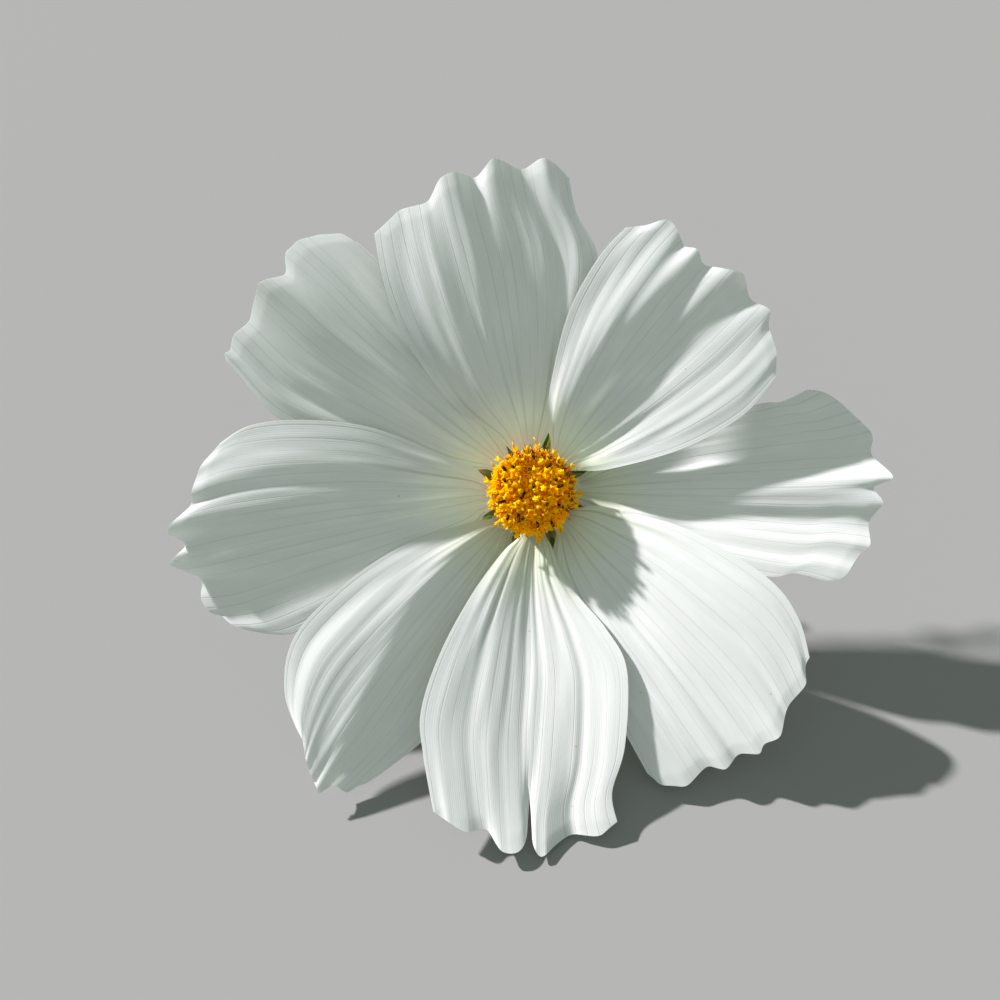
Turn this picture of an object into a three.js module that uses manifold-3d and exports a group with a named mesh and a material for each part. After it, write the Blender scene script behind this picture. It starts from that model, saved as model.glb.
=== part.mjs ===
// A white cosmos flower (Cosmos bipinnatus), picked with a short stalk and laid down.
//
// Eight ray petals stand round a yellow disc of small tubular florets. Behind them are a ring of
// papery inner bracts and a green receptacle with eight narrow outer bracts, and the stalk bends
// away from its back. The head leans on the tips of its lowest petals and on the stalk,
// which lies along the surface. Millimetres, +Z up, origin under the middle of the flower.
//
// The head is built flat, facing local +Z, with its north petal towards local +Y, and is then
// tipped back as one group. A petal's outline is given along (away from the disc) and across
// (positive to the left of that direction).

import * as THREE from "three";
import { mergeVertices } from "three/addons/utils/BufferGeometryUtils.js";
import Module from "manifold-3d";

const wasm = await Module();
wasm.setup();

// ---------------------------------------------------------------- driving dimensions

const HEAD_HEIGHT = 13.6; // centre of the claw ring above the surface
const HEAD_TILT = 30; // degrees that the face leans back from straight up
const GAP = 0.3; // clearance between pieces that touch on the plant

const CLAW_RADIUS = 4.2; // where the petals' claws begin
const PETAL_THICKNESS = 0.7;
const LAYER_STEP = 1.15; // height of an overlying petal's edge over the one below
const BOWL_RISE = 12; // how high the shallow bowl of the petals would climb
const BOWL_REACH = 36; // and how quickly it gets there
// Distances from the axis between which each of these grows to its full size.
const LAYER_REACH = [4.4, 5.9];
const CURL_REACH = [7, 20];
const FOLD_REACH = [6, 26];
const LIFT_REACH = [10, 42];
const MARGIN = 0.22; // share of a petal's width on each side that keeps its edge's level
const ROWS = 12; // mesh rows along a petal
const COLUMNS = 14; // mesh columns across it, at least
const TIP_SMOOTHING = 6; // rounds of averaging that even out the tip's teeth
const TOOTH_FADE = 5; // power with which the teeth die away towards the claw
const TIP_SLANT = 0.4; // weight of a tooth's height in sharing out the columns

const DISC_BASE_RADIUS = 3.8;
const DISC_RADIUS = 4.9;
const DISC_BASE = -0.35; // underside of the disc
const DISC_SHOULDER = 3.0; // where the dome begins
const DISC_TOP = 4.7;
const FLORETS = 92;
const FLORET_ROOT = 0.8; // how far a floret is sunk in the dome
const FLORET_HEIGHT = 1.2; // how far it stands out
const FLORET_TUBE_RADIUS = 0.3;
const FLORET_MOUTH_RADIUS = 0.54;
const FLORET_THROAT = 0.4; // depth of the hollow in its mouth
const FLORET_LOBES = 5;
const FLORET_LEAN = 62; // degrees that the outermost florets lean outwards
const FLORET_RING = 0.97; // share of the disc's radius that they reach
const GOLDEN_ANGLE = Math.PI * (3 - Math.sqrt(5));

const WASHER_INNER = 2.6; // ring that carries the inner bracts
const WASHER_OUTER = 4.6;
const WASHER_TOP = -PETAL_THICKNESS / 2 - GAP;
const WASHER_BOTTOM = WASHER_TOP - 0.8;
const BRACT_THICKNESS = 0.6;
const INNER_BRACT_REACH = 9.4;
const INNER_BRACT_WIDTH = 4.2;
const OUTER_BRACT_REACH = 12.5;
const OUTER_BRACT_WIDTH = 2.3;
const RECEPTACLE_RADIUS = 4.1;
const RECEPTACLE_BOTTOM = -5.2;
const RECEPTACLE_NECK = 1.5;

const STEM_RADIUS = 1.0;
const STEM_SIDES = 10;
const STEM_BEND_STEPS = 9;
const STEM_REST_LENGTH = 32; // stretch that lies on the surface
const STEM_REST_STEPS = 8;
const STEM_SWERVE = -3.5; // how far the lying stretch bends sideways

// ---------------------------------------------------------------- petals

// over: +1 where that edge lies over the neighbour, -1 where it is tucked under, as [right, left].
// curl: how far the margins rise over the petal's middle, as [right, left].
// lift: how far the right edge, the middle and the left edge rise at the tip. The lowest petals,
// south and south-west, just meet the surface.
// folds: long ridges (or grooves, if negative) as [place across 0..1, height, half width].
const PETALS = [
  {
    name: "petal_n",
    azimuth: 98.7,
    left: [[4.2, 1.2], [6, 2.5], [7.5, 3.7], [11.5, 7.9], [19.5, 12.1], [26.5, 13.8], [33, 14.1]],
    right: [[4.2, -1.2], [6, -2.4], [12, -6.5], [20, -10.3], [26.5, -11.7], [31.7, -10], [36, -9.7]],
    tip: [[36, -9.7], [37.9, -8.3], [38.8, -7], [37.8, -4.3], [38.8, -2.7], [39.7, -1.3], [37.7, 1.2],
      [38.7, 3.5], [38.3, 5.3], [35.7, 7.3], [35.3, 10.7], [34, 12.6], [33, 14.1]],
    over: [-1, 1],
    curl: [-0.2, 0.5],
    lift: [-1, -1.2, -1.8],
    folds: [[0.19, -0.3, 0.06], [0.4, 0.4, 0.06], [0.6, 0.3, 0.07], [0.86, 0.3, 0.06]],
  },
  {
    name: "petal_ne",
    azimuth: 50,
    left: [[4.2, 1.2], [5.6, 2], [7.2, 3.8], [10.8, 6.5], [18.7, 10.4], [26, 11.9], [30.8, 11.7]],
    right: [[4.2, -1.2], [5.6, -2.9], [8, -5.4], [15, -10.2], [22.2, -13.1], [28.4, -13.5]],
    tip: [[28.4, -13.5], [31, -11.4], [32.9, -8.5], [34.3, -7.7], [33.8, -5], [35.5, -2.4], [34.8, -0.9],
      [33.3, 1.9], [34.3, 3.6], [33.5, 4.8], [34.7, 7.4], [34.6, 8.7], [32.7, 9.9], [30.8, 11.7]],
    over: [1, 1],
    curl: [0.2, 0.4],
    lift: [-0.9, 0, -1.6],
    folds: [[0, 0.9, 0.2], [0.5, 0.3, 0.07], [0.79, -0.3, 0.06]],
  },
  {
    name: "petal_e",
    azimuth: 1,
    left: [[4.2, 1.2], [6, 1.9], [9, 4.4], [17, 7.5], [26.9, 9.9], [29.6, 10.1], [32.8, 11.5]],
    right: [[4.2, -1.2], [6, -2], [9.5, -4.6], [18, -8], [27.3, -10.6], [31, -10.4], [34.6, -11.4]],
    tip: [[34.6, -11.4], [36.6, -10.9], [38.7, -8], [39.8, -7.2], [39.7, -4.4], [41.5, -2], [40.2, -0.4],
      [42.7, 0.9], [40.1, 3.8], [40.5, 5.8], [39.3, 7.3], [36.4, 10.1], [34.6, 11.2], [32.8, 11.5]],
    over: [-1, -1],
    curl: [-1.1, -1.4],
    lift: [-0.8, -1.1, -0.6],
    folds: [[0.26, 0.4, 0.07], [0.5, -1.4, 0.3], [0.8, -0.35, 0.06]],
  },
  {
    name: "petal_se",
    azimuth: -48,
    left: [[4.2, 1.3], [5.2, 2.8], [6.2, 4.2], [8.3, 5.9], [15.6, 10.5], [25.9, 13.6], [31.8, 13.2],
      [36.3, 11]],
    right: [[4.2, -1.1], [5.6, -1.4], [7, -3.2], [9.5, -5.6], [15, -8], [22, -9.5], [28.7, -11.2],
      [33.8, -12.4]],
    tip: [[33.8, -12.4], [35.9, -12.1], [38, -10], [37.9, -6.6], [39.6, -5.2], [39.3, -2.8],
      [40.9, -0.9], [40.3, 0.2], [41, 2], [38.9, 5.2], [38.4, 8.5], [36.7, 10], [36.3, 11]],
    over: [-1, 1],
    curl: [0.2, 0.2],
    lift: [-0.9, -0.6, -0.5],
    folds: [[0.4, -0.4, 0.06], [0.56, 0.3, 0.08], [0.72, -0.4, 0.06]],
  },
  {
    name: "petal_s",
    azimuth: -90.5,
    left: [[4.2, 1.2], [5.5, 1.6], [6.8, 2.3], [9.7, 3.4], [12.8, 5.7], [16.4, 8.8], [21.1, 11.2],
      [29.9, 11], [35.4, 9.5], [38.8, 10.1]],
    right: [[4.2, -1.2], [5.6, -1.8], [7.4, -3.7], [12.4, -7.3], [19.2, -10.9], [26, -13.1],
      [31, -12.8], [37.7, -11.5]],
    tip: [[37.7, -11.5], [39.2, -9.2], [40.1, -7.5], [39.6, -5.4], [42.3, -3.4], [42.4, -1.6],
      [41, -0.6], [36.5, -0.2], [41.5, 0.2], [43, 1.2], [41.7, 2.7], [40.4, 4.6], [40.5, 8],
      [38.8, 10.1]],
    over: [1, 1],
    curl: [0.1, 0.2],
    lift: [1.45, 1.6, 0.5],
    folds: [[0.21, -0.4, 0.06], [0.5, 0.4, 0.07], [0.8, -0.4, 0.06]],
  },
  {
    name: "petal_sw",
    azimuth: -127,
    left: [[4.2, 1], [6, 1.3], [8, 2.6], [14, 4.8], [22, 6.4], [28.5, 7.4], [31.7, 7.3], [36.6, 6],
      [39.5, 5]],
    right: [[4.2, -1.2], [5.5, -1.9], [7.8, -4], [13.6, -8], [20.5, -10.8], [28.5, -12.3],
      [33, -11.6], [36.9, -9], [39, -6]],
    tip: [[39, -6], [39.9, -4.1], [41.6, -2.3], [42.7, -0.7], [43.7, 1.2], [42, 2], [41.8, 3.8],
      [40.4, 4.4], [39.5, 5]],
    over: [1, -1],
    curl: [0.3, -0.5],
    lift: [-0.6, -1, -1.2],
    folds: [[0.3, 0.7, 0.07], [0.6, 0.4, 0.06], [0.7, -0.4, 0.06]],
  },
  {
    name: "petal_w",
    azimuth: 189,
    left: [[4.2, 1.2], [6.2, 1.9], [8, 3.6], [15, 6.8], [22, 9.4], [30.3, 12.1], [34.2, 11.7]],
    right: [[4.2, -1.2], [5.5, -2.6], [6.8, -4], [10.5, -6.2], [18, -10.5], [25.8, -12.6],
      [31.9, -12.9], [35.7, -11.4]],
    tip: [[35.7, -11.4], [38.4, -9.1], [39.9, -6.3], [40.2, -4.7], [43.1, -2.7], [43.4, -1.7],
      [41.5, -0.3], [43.9, 1.8], [41.5, 3.4], [40.4, 4.3], [41, 6.3], [40.2, 8.2], [38.9, 8.8],
      [38, 9.9], [36.3, 10.9], [34.2, 11.7]],
    over: [1, -1],
    curl: [0.1, 0.2],
    lift: [-0.8, -0.8, -2],
    folds: [[0.26, -0.5, 0.06], [0.54, 0.3, 0.06], [0.81, 0.5, 0.07]],
  },
  {
    name: "petal_nw",
    azimuth: 143.5,
    left: [[4.2, 1], [6, 1.2], [8, 3], [11.5, 5.4], [20, 8.4], [27, 10.7], [31, 11], [36, 9.8],
      [38.3, 9.3]],
    right: [[4.2, -1.2], [6, -2.5], [8, -3.6], [13.5, -5.7], [22, -8.4], [28.5, -10.6], [34, -11.3]],
    tip: [[34, -11.3], [36.5, -11], [38.5, -9.4], [40.2, -7.3], [40.5, -5.2], [38.9, -3.1],
      [40.8, -0.5], [39.8, 2.2], [39.1, 3.8], [39.6, 6.5], [38.8, 8], [39.2, 8.7], [38.3, 9.3]],
    over: [-1, -1],
    curl: [-0.5, -0.2],
    lift: [-2.2, -1.2, -1.4],
    folds: [[0.2, -0.45, 0.06], [0.475, 0.6, 0.08], [0.78, 0.4, 0.07]],
  },
];

const { smoothstep, degToRad } = THREE.MathUtils;

// The common shallow bowl: height of the petals' middle layer at a distance from the axis.
function bowlHeight(radius) {
  return BOWL_RISE * (1 - Math.exp(-Math.max(radius - CLAW_RADIUS, 0) / BOWL_REACH));
}

// Height of a petal's middle surface at a place u across (0 right, 1 left) and a distance out.
function petalHeight(petal, u, radius) {
  const right = 1 - smoothstep(u, MARGIN, 0.55);
  const left = smoothstep(u, 0.45, 1 - MARGIN);
  const middle = 1 - right - left;
  const layer = (right * petal.over[0] + left * petal.over[1]) * (LAYER_STEP / 2);
  const curl = right * petal.curl[0] + left * petal.curl[1];
  const lift = right * petal.lift[0] + middle * petal.lift[1] + left * petal.lift[2];
  const fold = petal.folds.reduce(
    (sum, [place, height, width]) => sum + height * Math.exp(-(((u - place) / width) ** 2)),
    0,
  );
  return (
    bowlHeight(radius) +
    layer * smoothstep(radius, ...LAYER_REACH) +
    curl * smoothstep(radius, ...CURL_REACH) +
    fold * smoothstep(radius, ...FOLD_REACH) +
    lift * Math.max((radius - LIFT_REACH[0]) / (LIFT_REACH[1] - LIFT_REACH[0]), 0) ** 2
  );
}

// A tip's points with long stretches split evenly, so that no column of the mesh is too wide.
function splitTip(points) {
  const stretch = ([x0, y0], [x1, y1]) => Math.hypot(x1 - x0, y1 - y0);
  const length = points.slice(1).reduce((sum, point, i) => sum + stretch(points[i], point), 0);
  const split = [points[0]];
  for (let i = 1; i < points.length; i++) {
    const [from, to] = [points[i - 1], points[i]];
    const parts = Math.ceil((stretch(from, to) * COLUMNS) / length);
    for (let k = 1; k <= parts; k++) {
      split.push([0, 1].map((axis) => from[axis] + ((to[axis] - from[axis]) * k) / parts));
    }
  }
  return split.map(([along, across]) => new THREE.Vector2(along, across));
}

// The same tip with its teeth evened out, which the rows inside the petal follow.
function smoothTip(tip) {
  let smooth = tip;
  for (let pass = 0; pass < TIP_SMOOTHING; pass++) {
    smooth = smooth.map((point, i) => {
      if (i === 0 || i === smooth.length - 1) return point;
      const sum = smooth[i - 1].clone().add(smooth[i + 1]).addScaledVector(point, 2);
      return sum.multiplyScalar(0.25);
    });
  }
  return smooth;
}

// One petal: a patch between its claw, its two edges and its toothed tip, given a thickness.
function petalGeometry(petal) {
  const edge = (points) => new THREE.SplineCurve(points.map(([x, y]) => new THREE.Vector2(x, y)));
  const [right, left] = [edge(petal.right), edge(petal.left)];
  const tip = splitTip(petal.tip);
  const crown = smoothTip(tip);
  const reach = [0];
  for (let i = 1; i < tip.length; i++) {
    const step = tip[i].clone().sub(tip[i - 1]);
    reach.push(reach[i - 1] + Math.hypot(TIP_SLANT * step.x, step.y));
  }
  const columns = tip.length;
  const turn = degToRad(petal.azimuth);
  const claw = [right.getPoint(0), left.getPoint(0)];
  const corner = [tip[0], tip[columns - 1]];

  const surface = [];
  for (let row = 0; row <= ROWS; row++) {
    const v = row / ROWS;
    const [sideR, sideL] = [right.getPointAt(v), left.getPointAt(v)];
    for (let column = 0; column < columns; column++) {
      const u = reach[column] / reach[columns - 1];
      const point = new THREE.Vector2();
      point.addScaledVector(claw[0], (1 - v) * (1 - u)).addScaledVector(claw[1], (1 - v) * u);
      point.addScaledVector(crown[column], v);
      point.addScaledVector(sideR, 1 - u).addScaledVector(sideL, u);
      point.addScaledVector(claw[0], -(1 - u) * (1 - v)).addScaledVector(claw[1], -u * (1 - v));
      point.addScaledVector(corner[0], -(1 - u) * v).addScaledVector(corner[1], -u * v);
      point.addScaledVector(tip[column].clone().sub(crown[column]), v ** TOOTH_FADE);
      const height = petalHeight(petal, u, point.length());
      point.rotateAround(new THREE.Vector2(), turn);
      surface.push(new THREE.Vector3(point.x, point.y, height));
    }
  }
  return thicken(surface, columns, PETAL_THICKNESS);
}

// A closed solid from a grid of points: the grid raised and lowered by half the thickness, both
// faces split into triangles alike, with a wall round the rim. Columns run from right to left.
function thicken(grid, columns, thickness) {
  const rows = grid.length / columns;
  const half = new THREE.Vector3(0, 0, thickness / 2);
  const points = [...grid.map((p) => p.clone().add(half)), ...grid.map((p) => p.clone().sub(half))];
  const index = [];
  const under = grid.length;
  for (let row = 0; row < rows - 1; row++) {
    for (let column = 0; column < columns - 1; column++) {
      const a = row * columns + column;
      const [b, c, d] = [a + 1, a + columns + 1, a + columns];
      index.push(a, d, c, a, c, b);
      index.push(under + a, under + c, under + d, under + a, under + b, under + c);
    }
  }
  const rim = [];
  for (let column = 0; column < columns; column++) rim.push(column);
  for (let row = 1; row < rows; row++) rim.push(row * columns + columns - 1);
  for (let column = columns - 2; column >= 0; column--) rim.push((rows - 1) * columns + column);
  for (let row = rows - 2; row > 0; row--) rim.push(row * columns);
  rim.forEach((a, i) => {
    const b = rim[(i + 1) % rim.length];
    index.push(a, b, under + b, a, under + b, under + a);
  });
  const geometry = new THREE.BufferGeometry().setFromPoints(points);
  geometry.setIndex(index);
  return geometry;
}

// ---------------------------------------------------------------- solids and unions

// A closed three.js geometry as a manifold solid.
function solid(geometry) {
  const bare = geometry.clone();
  bare.deleteAttribute("normal");
  bare.deleteAttribute("uv");
  const merged = mergeVertices(bare, 1e-4);
  const mesh = new wasm.Mesh({
    numProp: 3,
    vertProperties: Float32Array.from(merged.attributes.position.array),
    triVerts: Uint32Array.from(merged.index.array),
  });
  return new wasm.Manifold(mesh);
}

// Several closed geometries joined into one.
function join(geometries) {
  const joined = geometries.map(solid).reduce((sum, next) => sum.add(next));
  const { vertProperties, triVerts } = joined.getMesh();
  const geometry = new THREE.BufferGeometry();
  geometry.setAttribute("position", new THREE.BufferAttribute(vertProperties, 3));
  geometry.setIndex(new THREE.BufferAttribute(triVerts, 1));
  return geometry;
}

// A solid of revolution round the head's axis from [radius, height] pairs, listed upwards.
function turned(profile, segments) {
  const points = profile.map(([radius, height]) => new THREE.Vector2(radius, height));
  return new THREE.LatheGeometry(points, segments).rotateX(Math.PI / 2);
}

// ---------------------------------------------------------------- disc

// One floret: a five-sided tube that flares to an open mouth, standing along +Z from z = 0.
function floretGeometry() {
  const height = FLORET_ROOT + FLORET_HEIGHT;
  const points = [new THREE.Vector3(0, 0, 0), new THREE.Vector3(0, 0, height - FLORET_THROAT)];
  const ring = (radius, z) => {
    for (let i = 0; i < FLORET_LOBES; i++) {
      const angle = (i * 2 * Math.PI) / FLORET_LOBES;
      points.push(new THREE.Vector3(radius * Math.cos(angle), radius * Math.sin(angle), z));
    }
  };
  ring(FLORET_TUBE_RADIUS, 0);
  ring(FLORET_MOUTH_RADIUS, height);
  const index = [];
  for (let i = 0; i < FLORET_LOBES; i++) {
    const next = (i + 1) % FLORET_LOBES;
    const [foot, nextFoot] = [2 + i, 2 + next];
    const [mouth, nextMouth] = [foot + FLORET_LOBES, nextFoot + FLORET_LOBES];
    index.push(foot, nextFoot, nextMouth, foot, nextMouth, mouth);
    index.push(0, nextFoot, foot, 1, mouth, nextMouth);
  }
  const geometry = new THREE.BufferGeometry().setFromPoints(points);
  geometry.setIndex(index);
  return geometry;
}

// Height of the disc's dome at a distance from the axis.
function domeHeight(radius) {
  return DISC_SHOULDER + (DISC_TOP - DISC_SHOULDER) * Math.sqrt(1 - (radius / DISC_RADIUS) ** 2);
}

// The dome covered with florets on a golden-angle spiral, leaning outwards towards the rim.
function discGeometry() {
  const dome = [[0, DISC_BASE], [DISC_BASE_RADIUS, DISC_BASE], [DISC_RADIUS, DISC_SHOULDER]];
  for (let angle = 22.5; angle < 90; angle += 22.5) {
    const radius = DISC_RADIUS * Math.cos(degToRad(angle));
    dome.push([radius, domeHeight(radius)]);
  }
  dome.push([0, DISC_TOP]);
  const pieces = [turned(dome, 18)];
  for (let k = 0; k < FLORETS; k++) {
    const share = Math.sqrt((k + 0.5) / FLORETS);
    const radius = share * DISC_RADIUS * FLORET_RING;
    const lean = degToRad(FLORET_LEAN) * share ** 1.6;
    const floret = floretGeometry();
    floret.rotateZ(k);
    floret.translate(0, 0, -FLORET_ROOT);
    floret.rotateY(lean);
    floret.translate(radius, 0, domeHeight(radius));
    floret.rotateZ(k * GOLDEN_ANGLE);
    pieces.push(floret);
  }
  return join(pieces);
}

// ---------------------------------------------------------------- bracts and receptacle

// One bract along +X from inside its ring to its pointed tip, arched lengthwise by a curve.
function bractGeometry(root, reach, width, arch) {
  const [rows, columns] = [6, 3];
  const grid = [];
  for (let row = 0; row < rows; row++) {
    const v = row / (rows - 1);
    const half = (width / 2) * Math.max(Math.sin(Math.PI * (0.3 + 0.7 * v)) ** 0.8, 0.12);
    for (let column = 0; column < columns; column++) {
      const across = (column / (columns - 1)) * 2 - 1;
      const x = root + (reach - root) * v;
      grid.push(new THREE.Vector3(x, across * half, arch(x) + 0.25 * across * across * v));
    }
  }
  return thicken(grid, columns, BRACT_THICKNESS);
}

// Copies of a bract round the axis, one at each azimuth in degrees.
function ringOfBracts(bract, azimuths) {
  return azimuths.map((azimuth) => bract.clone().rotateZ(degToRad(azimuth)));
}

const petalAzimuths = PETALS.map((petal) => petal.azimuth);
const gapAzimuths = [74.5, 22, -18, -67, -115.5, -153, 162, 121.5];

function innerBractsGeometry() {
  const washer = [[WASHER_INNER, WASHER_BOTTOM], [WASHER_OUTER, WASHER_BOTTOM],
    [WASHER_OUTER, WASHER_TOP], [WASHER_INNER, WASHER_TOP], [WASHER_INNER, WASHER_BOTTOM]];
  const level = (WASHER_TOP + WASHER_BOTTOM) / 2 - 0.05;
  const arch = (x) => level + 0.55 * bowlHeight(x) - 0.03 * Math.max(x - WASHER_OUTER, 0) ** 1.4;
  const bract = bractGeometry(3.4, INNER_BRACT_REACH, INNER_BRACT_WIDTH, arch);
  return join([turned(washer, 24), ...ringOfBracts(bract, petalAzimuths)]);
}

function outerBractsGeometry() {
  const shoulder = WASHER_BOTTOM - GAP;
  const profile = [[0, RECEPTACLE_BOTTOM], [RECEPTACLE_NECK, RECEPTACLE_BOTTOM], [2.3, -4.1],
    [3.6, shoulder - 1.1], [RECEPTACLE_RADIUS, shoulder - 0.5], [RECEPTACLE_RADIUS, shoulder],
    [WASHER_INNER - GAP, shoulder], [WASHER_INNER - GAP, DISC_BASE - GAP], [0, DISC_BASE - GAP]];
  const level = shoulder - 0.45;
  const arch = (x) => level + 0.18 * (x - 3) - 0.022 * Math.max(x - 4, 0) ** 2;
  const bract = bractGeometry(3, OUTER_BRACT_REACH, OUTER_BRACT_WIDTH, arch);
  return join([turned(profile, 20), ...ringOfBracts(bract, gapAzimuths)]);
}

// ---------------------------------------------------------------- stem

// The stalk's centre line: straight out of the head's back, an even bend until it lies level on
// the surface, and a lying stretch that swerves gently to one side.
function stemPath() {
  const back = degToRad(90 - HEAD_TILT);
  const start = new THREE.Vector3(0, 0, RECEPTACLE_BOTTOM - GAP).applyAxisAngle(
    new THREE.Vector3(1, 0, 0),
    degToRad(HEAD_TILT),
  );
  start.z += HEAD_HEIGHT;
  const rest = STEM_RADIUS * Math.cos(Math.PI / STEM_SIDES);
  const bend = (start.z - rest) / (1 - Math.cos(back));
  const points = [];
  for (let i = 0; i < STEM_BEND_STEPS; i++) {
    const angle = back * (1 - i / STEM_BEND_STEPS);
    const y = start.y + bend * (Math.sin(back) - Math.sin(angle));
    points.push(new THREE.Vector3(0, y, rest + bend * (1 - Math.cos(angle))));
  }
  const landing = start.y + bend * Math.sin(back);
  for (let i = 0; i <= STEM_REST_STEPS; i++) {
    const along = i / STEM_REST_STEPS;
    points.push(new THREE.Vector3(STEM_SWERVE * along ** 2, landing + STEM_REST_LENGTH * along, rest));
  }
  return points;
}

// A tube of flat facets along a path, with one facet always underneath.
function stemGeometry() {
  const path = stemPath();
  const points = [];
  path.forEach((centre, i) => {
    const ahead = path[Math.min(i + 1, path.length - 1)];
    const behind = path[Math.max(i - 1, 0)];
    const tangent = ahead.clone().sub(behind).normalize();
    const side = new THREE.Vector3(tangent.y, -tangent.x, 0).normalize();
    const up = side.clone().cross(tangent);
    for (let k = 0; k < STEM_SIDES; k++) {
      const angle = ((k + 0.5) * 2 * Math.PI) / STEM_SIDES - Math.PI / 2;
      const point = centre.clone().addScaledVector(side, STEM_RADIUS * Math.cos(angle));
      points.push(point.addScaledVector(up, STEM_RADIUS * Math.sin(angle)));
    }
  });
  const index = [];
  for (let i = 0; i < path.length - 1; i++) {
    for (let k = 0; k < STEM_SIDES; k++) {
      const a = i * STEM_SIDES + k;
      const b = i * STEM_SIDES + ((k + 1) % STEM_SIDES);
      index.push(a, b + STEM_SIDES, b, a, a + STEM_SIDES, b + STEM_SIDES);
    }
  }
  const last = (path.length - 1) * STEM_SIDES;
  for (let k = 1; k < STEM_SIDES - 1; k++) {
    index.push(0, k, k + 1);
    index.push(last, last + k + 1, last + k);
  }
  const geometry = new THREE.BufferGeometry().setFromPoints(points);
  geometry.setIndex(index);
  return geometry;
}

// ---------------------------------------------------------------- assembly

const petalWhite = new THREE.MeshStandardMaterial({ color: 0xf2f3ee, roughness: 0.55, metalness: 0 });
const discYellow = new THREE.MeshStandardMaterial({ color: 0xf0b000, roughness: 0.7, metalness: 0 });
const bractGreen = new THREE.MeshStandardMaterial({ color: 0x4f6a22, roughness: 0.6, metalness: 0 });
const bractStraw = new THREE.MeshStandardMaterial({ color: 0x9aa468, roughness: 0.6, metalness: 0 });
const stemGreen = new THREE.MeshStandardMaterial({ color: 0x708420, roughness: 0.55, metalness: 0 });

function named(name, geometry, material) {
  const mesh = new THREE.Mesh(geometry, material);
  mesh.name = name;
  return mesh;
}

const head = new THREE.Group();
for (const petal of PETALS) {
  head.add(named(petal.name, petalGeometry(petal), petalWhite));
}
head.add(named("disc_florets", discGeometry(), discYellow));
head.add(named("inner_bracts", innerBractsGeometry(), bractStraw));
head.add(named("outer_bracts", outerBractsGeometry(), bractGreen));
head.rotation.x = degToRad(HEAD_TILT);
head.position.z = HEAD_HEIGHT;

const flower = new THREE.Group();
flower.add(head, named("stem", stemGeometry(), stemGreen));

// The origin goes under the middle of the whole flower, on the surface.
const box = new THREE.Box3().setFromObject(flower, true);
const middle = box.getCenter(new THREE.Vector3());
flower.position.set(-middle.x, -middle.y, -box.min.z);

export default flower;
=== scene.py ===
"""A white cosmos flower, picked with a short stalk and laid down, dressed for a studio picture.

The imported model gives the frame: where the flower lies, how large it is and which parts it has.
Finer pieces stand here in place of each part. Sizes are millimetres, and become metres where a
mesh is made. The head is worked out in its own flat plane, as on the plant: +Z out of the face,
the north petal towards +Y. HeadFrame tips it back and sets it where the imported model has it.
"""

from __future__ import annotations

import logging
import math
from dataclasses import dataclass
from enum import Enum
from functools import cached_property, partial
from typing import Any, Sequence

import bpy
import numpy as np
from mathutils import Matrix, Vector

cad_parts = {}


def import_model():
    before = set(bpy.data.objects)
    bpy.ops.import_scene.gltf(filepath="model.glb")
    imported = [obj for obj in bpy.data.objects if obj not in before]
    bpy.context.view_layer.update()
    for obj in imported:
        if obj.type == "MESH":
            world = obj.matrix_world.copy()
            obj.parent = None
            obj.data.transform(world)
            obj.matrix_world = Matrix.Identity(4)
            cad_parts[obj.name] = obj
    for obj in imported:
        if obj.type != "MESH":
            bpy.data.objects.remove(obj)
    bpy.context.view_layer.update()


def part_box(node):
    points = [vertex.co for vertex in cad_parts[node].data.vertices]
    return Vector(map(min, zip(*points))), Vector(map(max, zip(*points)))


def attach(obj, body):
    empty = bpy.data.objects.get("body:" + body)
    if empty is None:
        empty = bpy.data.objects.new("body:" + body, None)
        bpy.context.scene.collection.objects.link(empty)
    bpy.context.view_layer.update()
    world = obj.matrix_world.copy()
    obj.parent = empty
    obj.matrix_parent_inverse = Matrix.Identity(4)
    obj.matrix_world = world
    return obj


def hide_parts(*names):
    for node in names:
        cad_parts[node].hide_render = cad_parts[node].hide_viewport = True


LOG = logging.getLogger("cosmos")

MM = 0.001
GOLDEN_ANGLE = math.pi * (3.0 - math.sqrt(5.0))

Pair = tuple[float, float]
Outline = tuple[Pair, ...]


class Slot(Enum):
    """The material slots of the flower's record."""

    PETAL = "petal"
    DISC = "disc"
    INNER_BRACT = "inner_bract"
    OUTER_BRACT = "outer_bract"
    STALK = "stalk"


# ---------------------------------------------------------------- numbers


def linear(code: str) -> tuple[float, float, float, float]:
    """Turn an sRGB hex colour, "#rrggbb", into Blender's linear red, green, blue and alpha."""
    shares = [int(code[i : i + 2], 16) / 255 for i in (1, 3, 5)]
    return (*(c / 12.92 if c <= 0.04045 else ((c + 0.055) / 1.055) ** 2.4 for c in shares), 1.0)


def smoothstep(low: float, high: float, value: np.ndarray) -> np.ndarray:
    """Ease values from 0 at low to 1 at high."""
    share = np.clip((value - low) / (high - low), 0.0, 1.0)
    return share * share * (3.0 - 2.0 * share)


def spline(points: Sequence[Sequence[float]], steps: int) -> np.ndarray:
    """A uniform Catmull-Rom curve through points.

    Args:
        points: The points, one per row.
        steps: How many steps each span is cut into.

    Returns:
        The curve's points, the given ones among them.
    """
    points = np.array(points, dtype=float)
    padded = np.vstack([points[:1], points, points[-1:]])
    t = (np.arange(steps) / steps)[:, None]
    spans = []
    for p0, p1, p2, p3 in zip(padded[:-3], padded[1:-2], padded[2:-1], padded[3:]):
        m1, m2 = (p2 - p0) / 2, (p3 - p1) / 2
        cubic = (2 * p1 - 2 * p2 + m1 + m2) * t**3 + (3 * p2 - 3 * p1 - 2 * m1 - m2) * t**2
        spans.append(cubic + m1 * t + p1)
    return np.vstack([*spans, points[-1:]])


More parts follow.
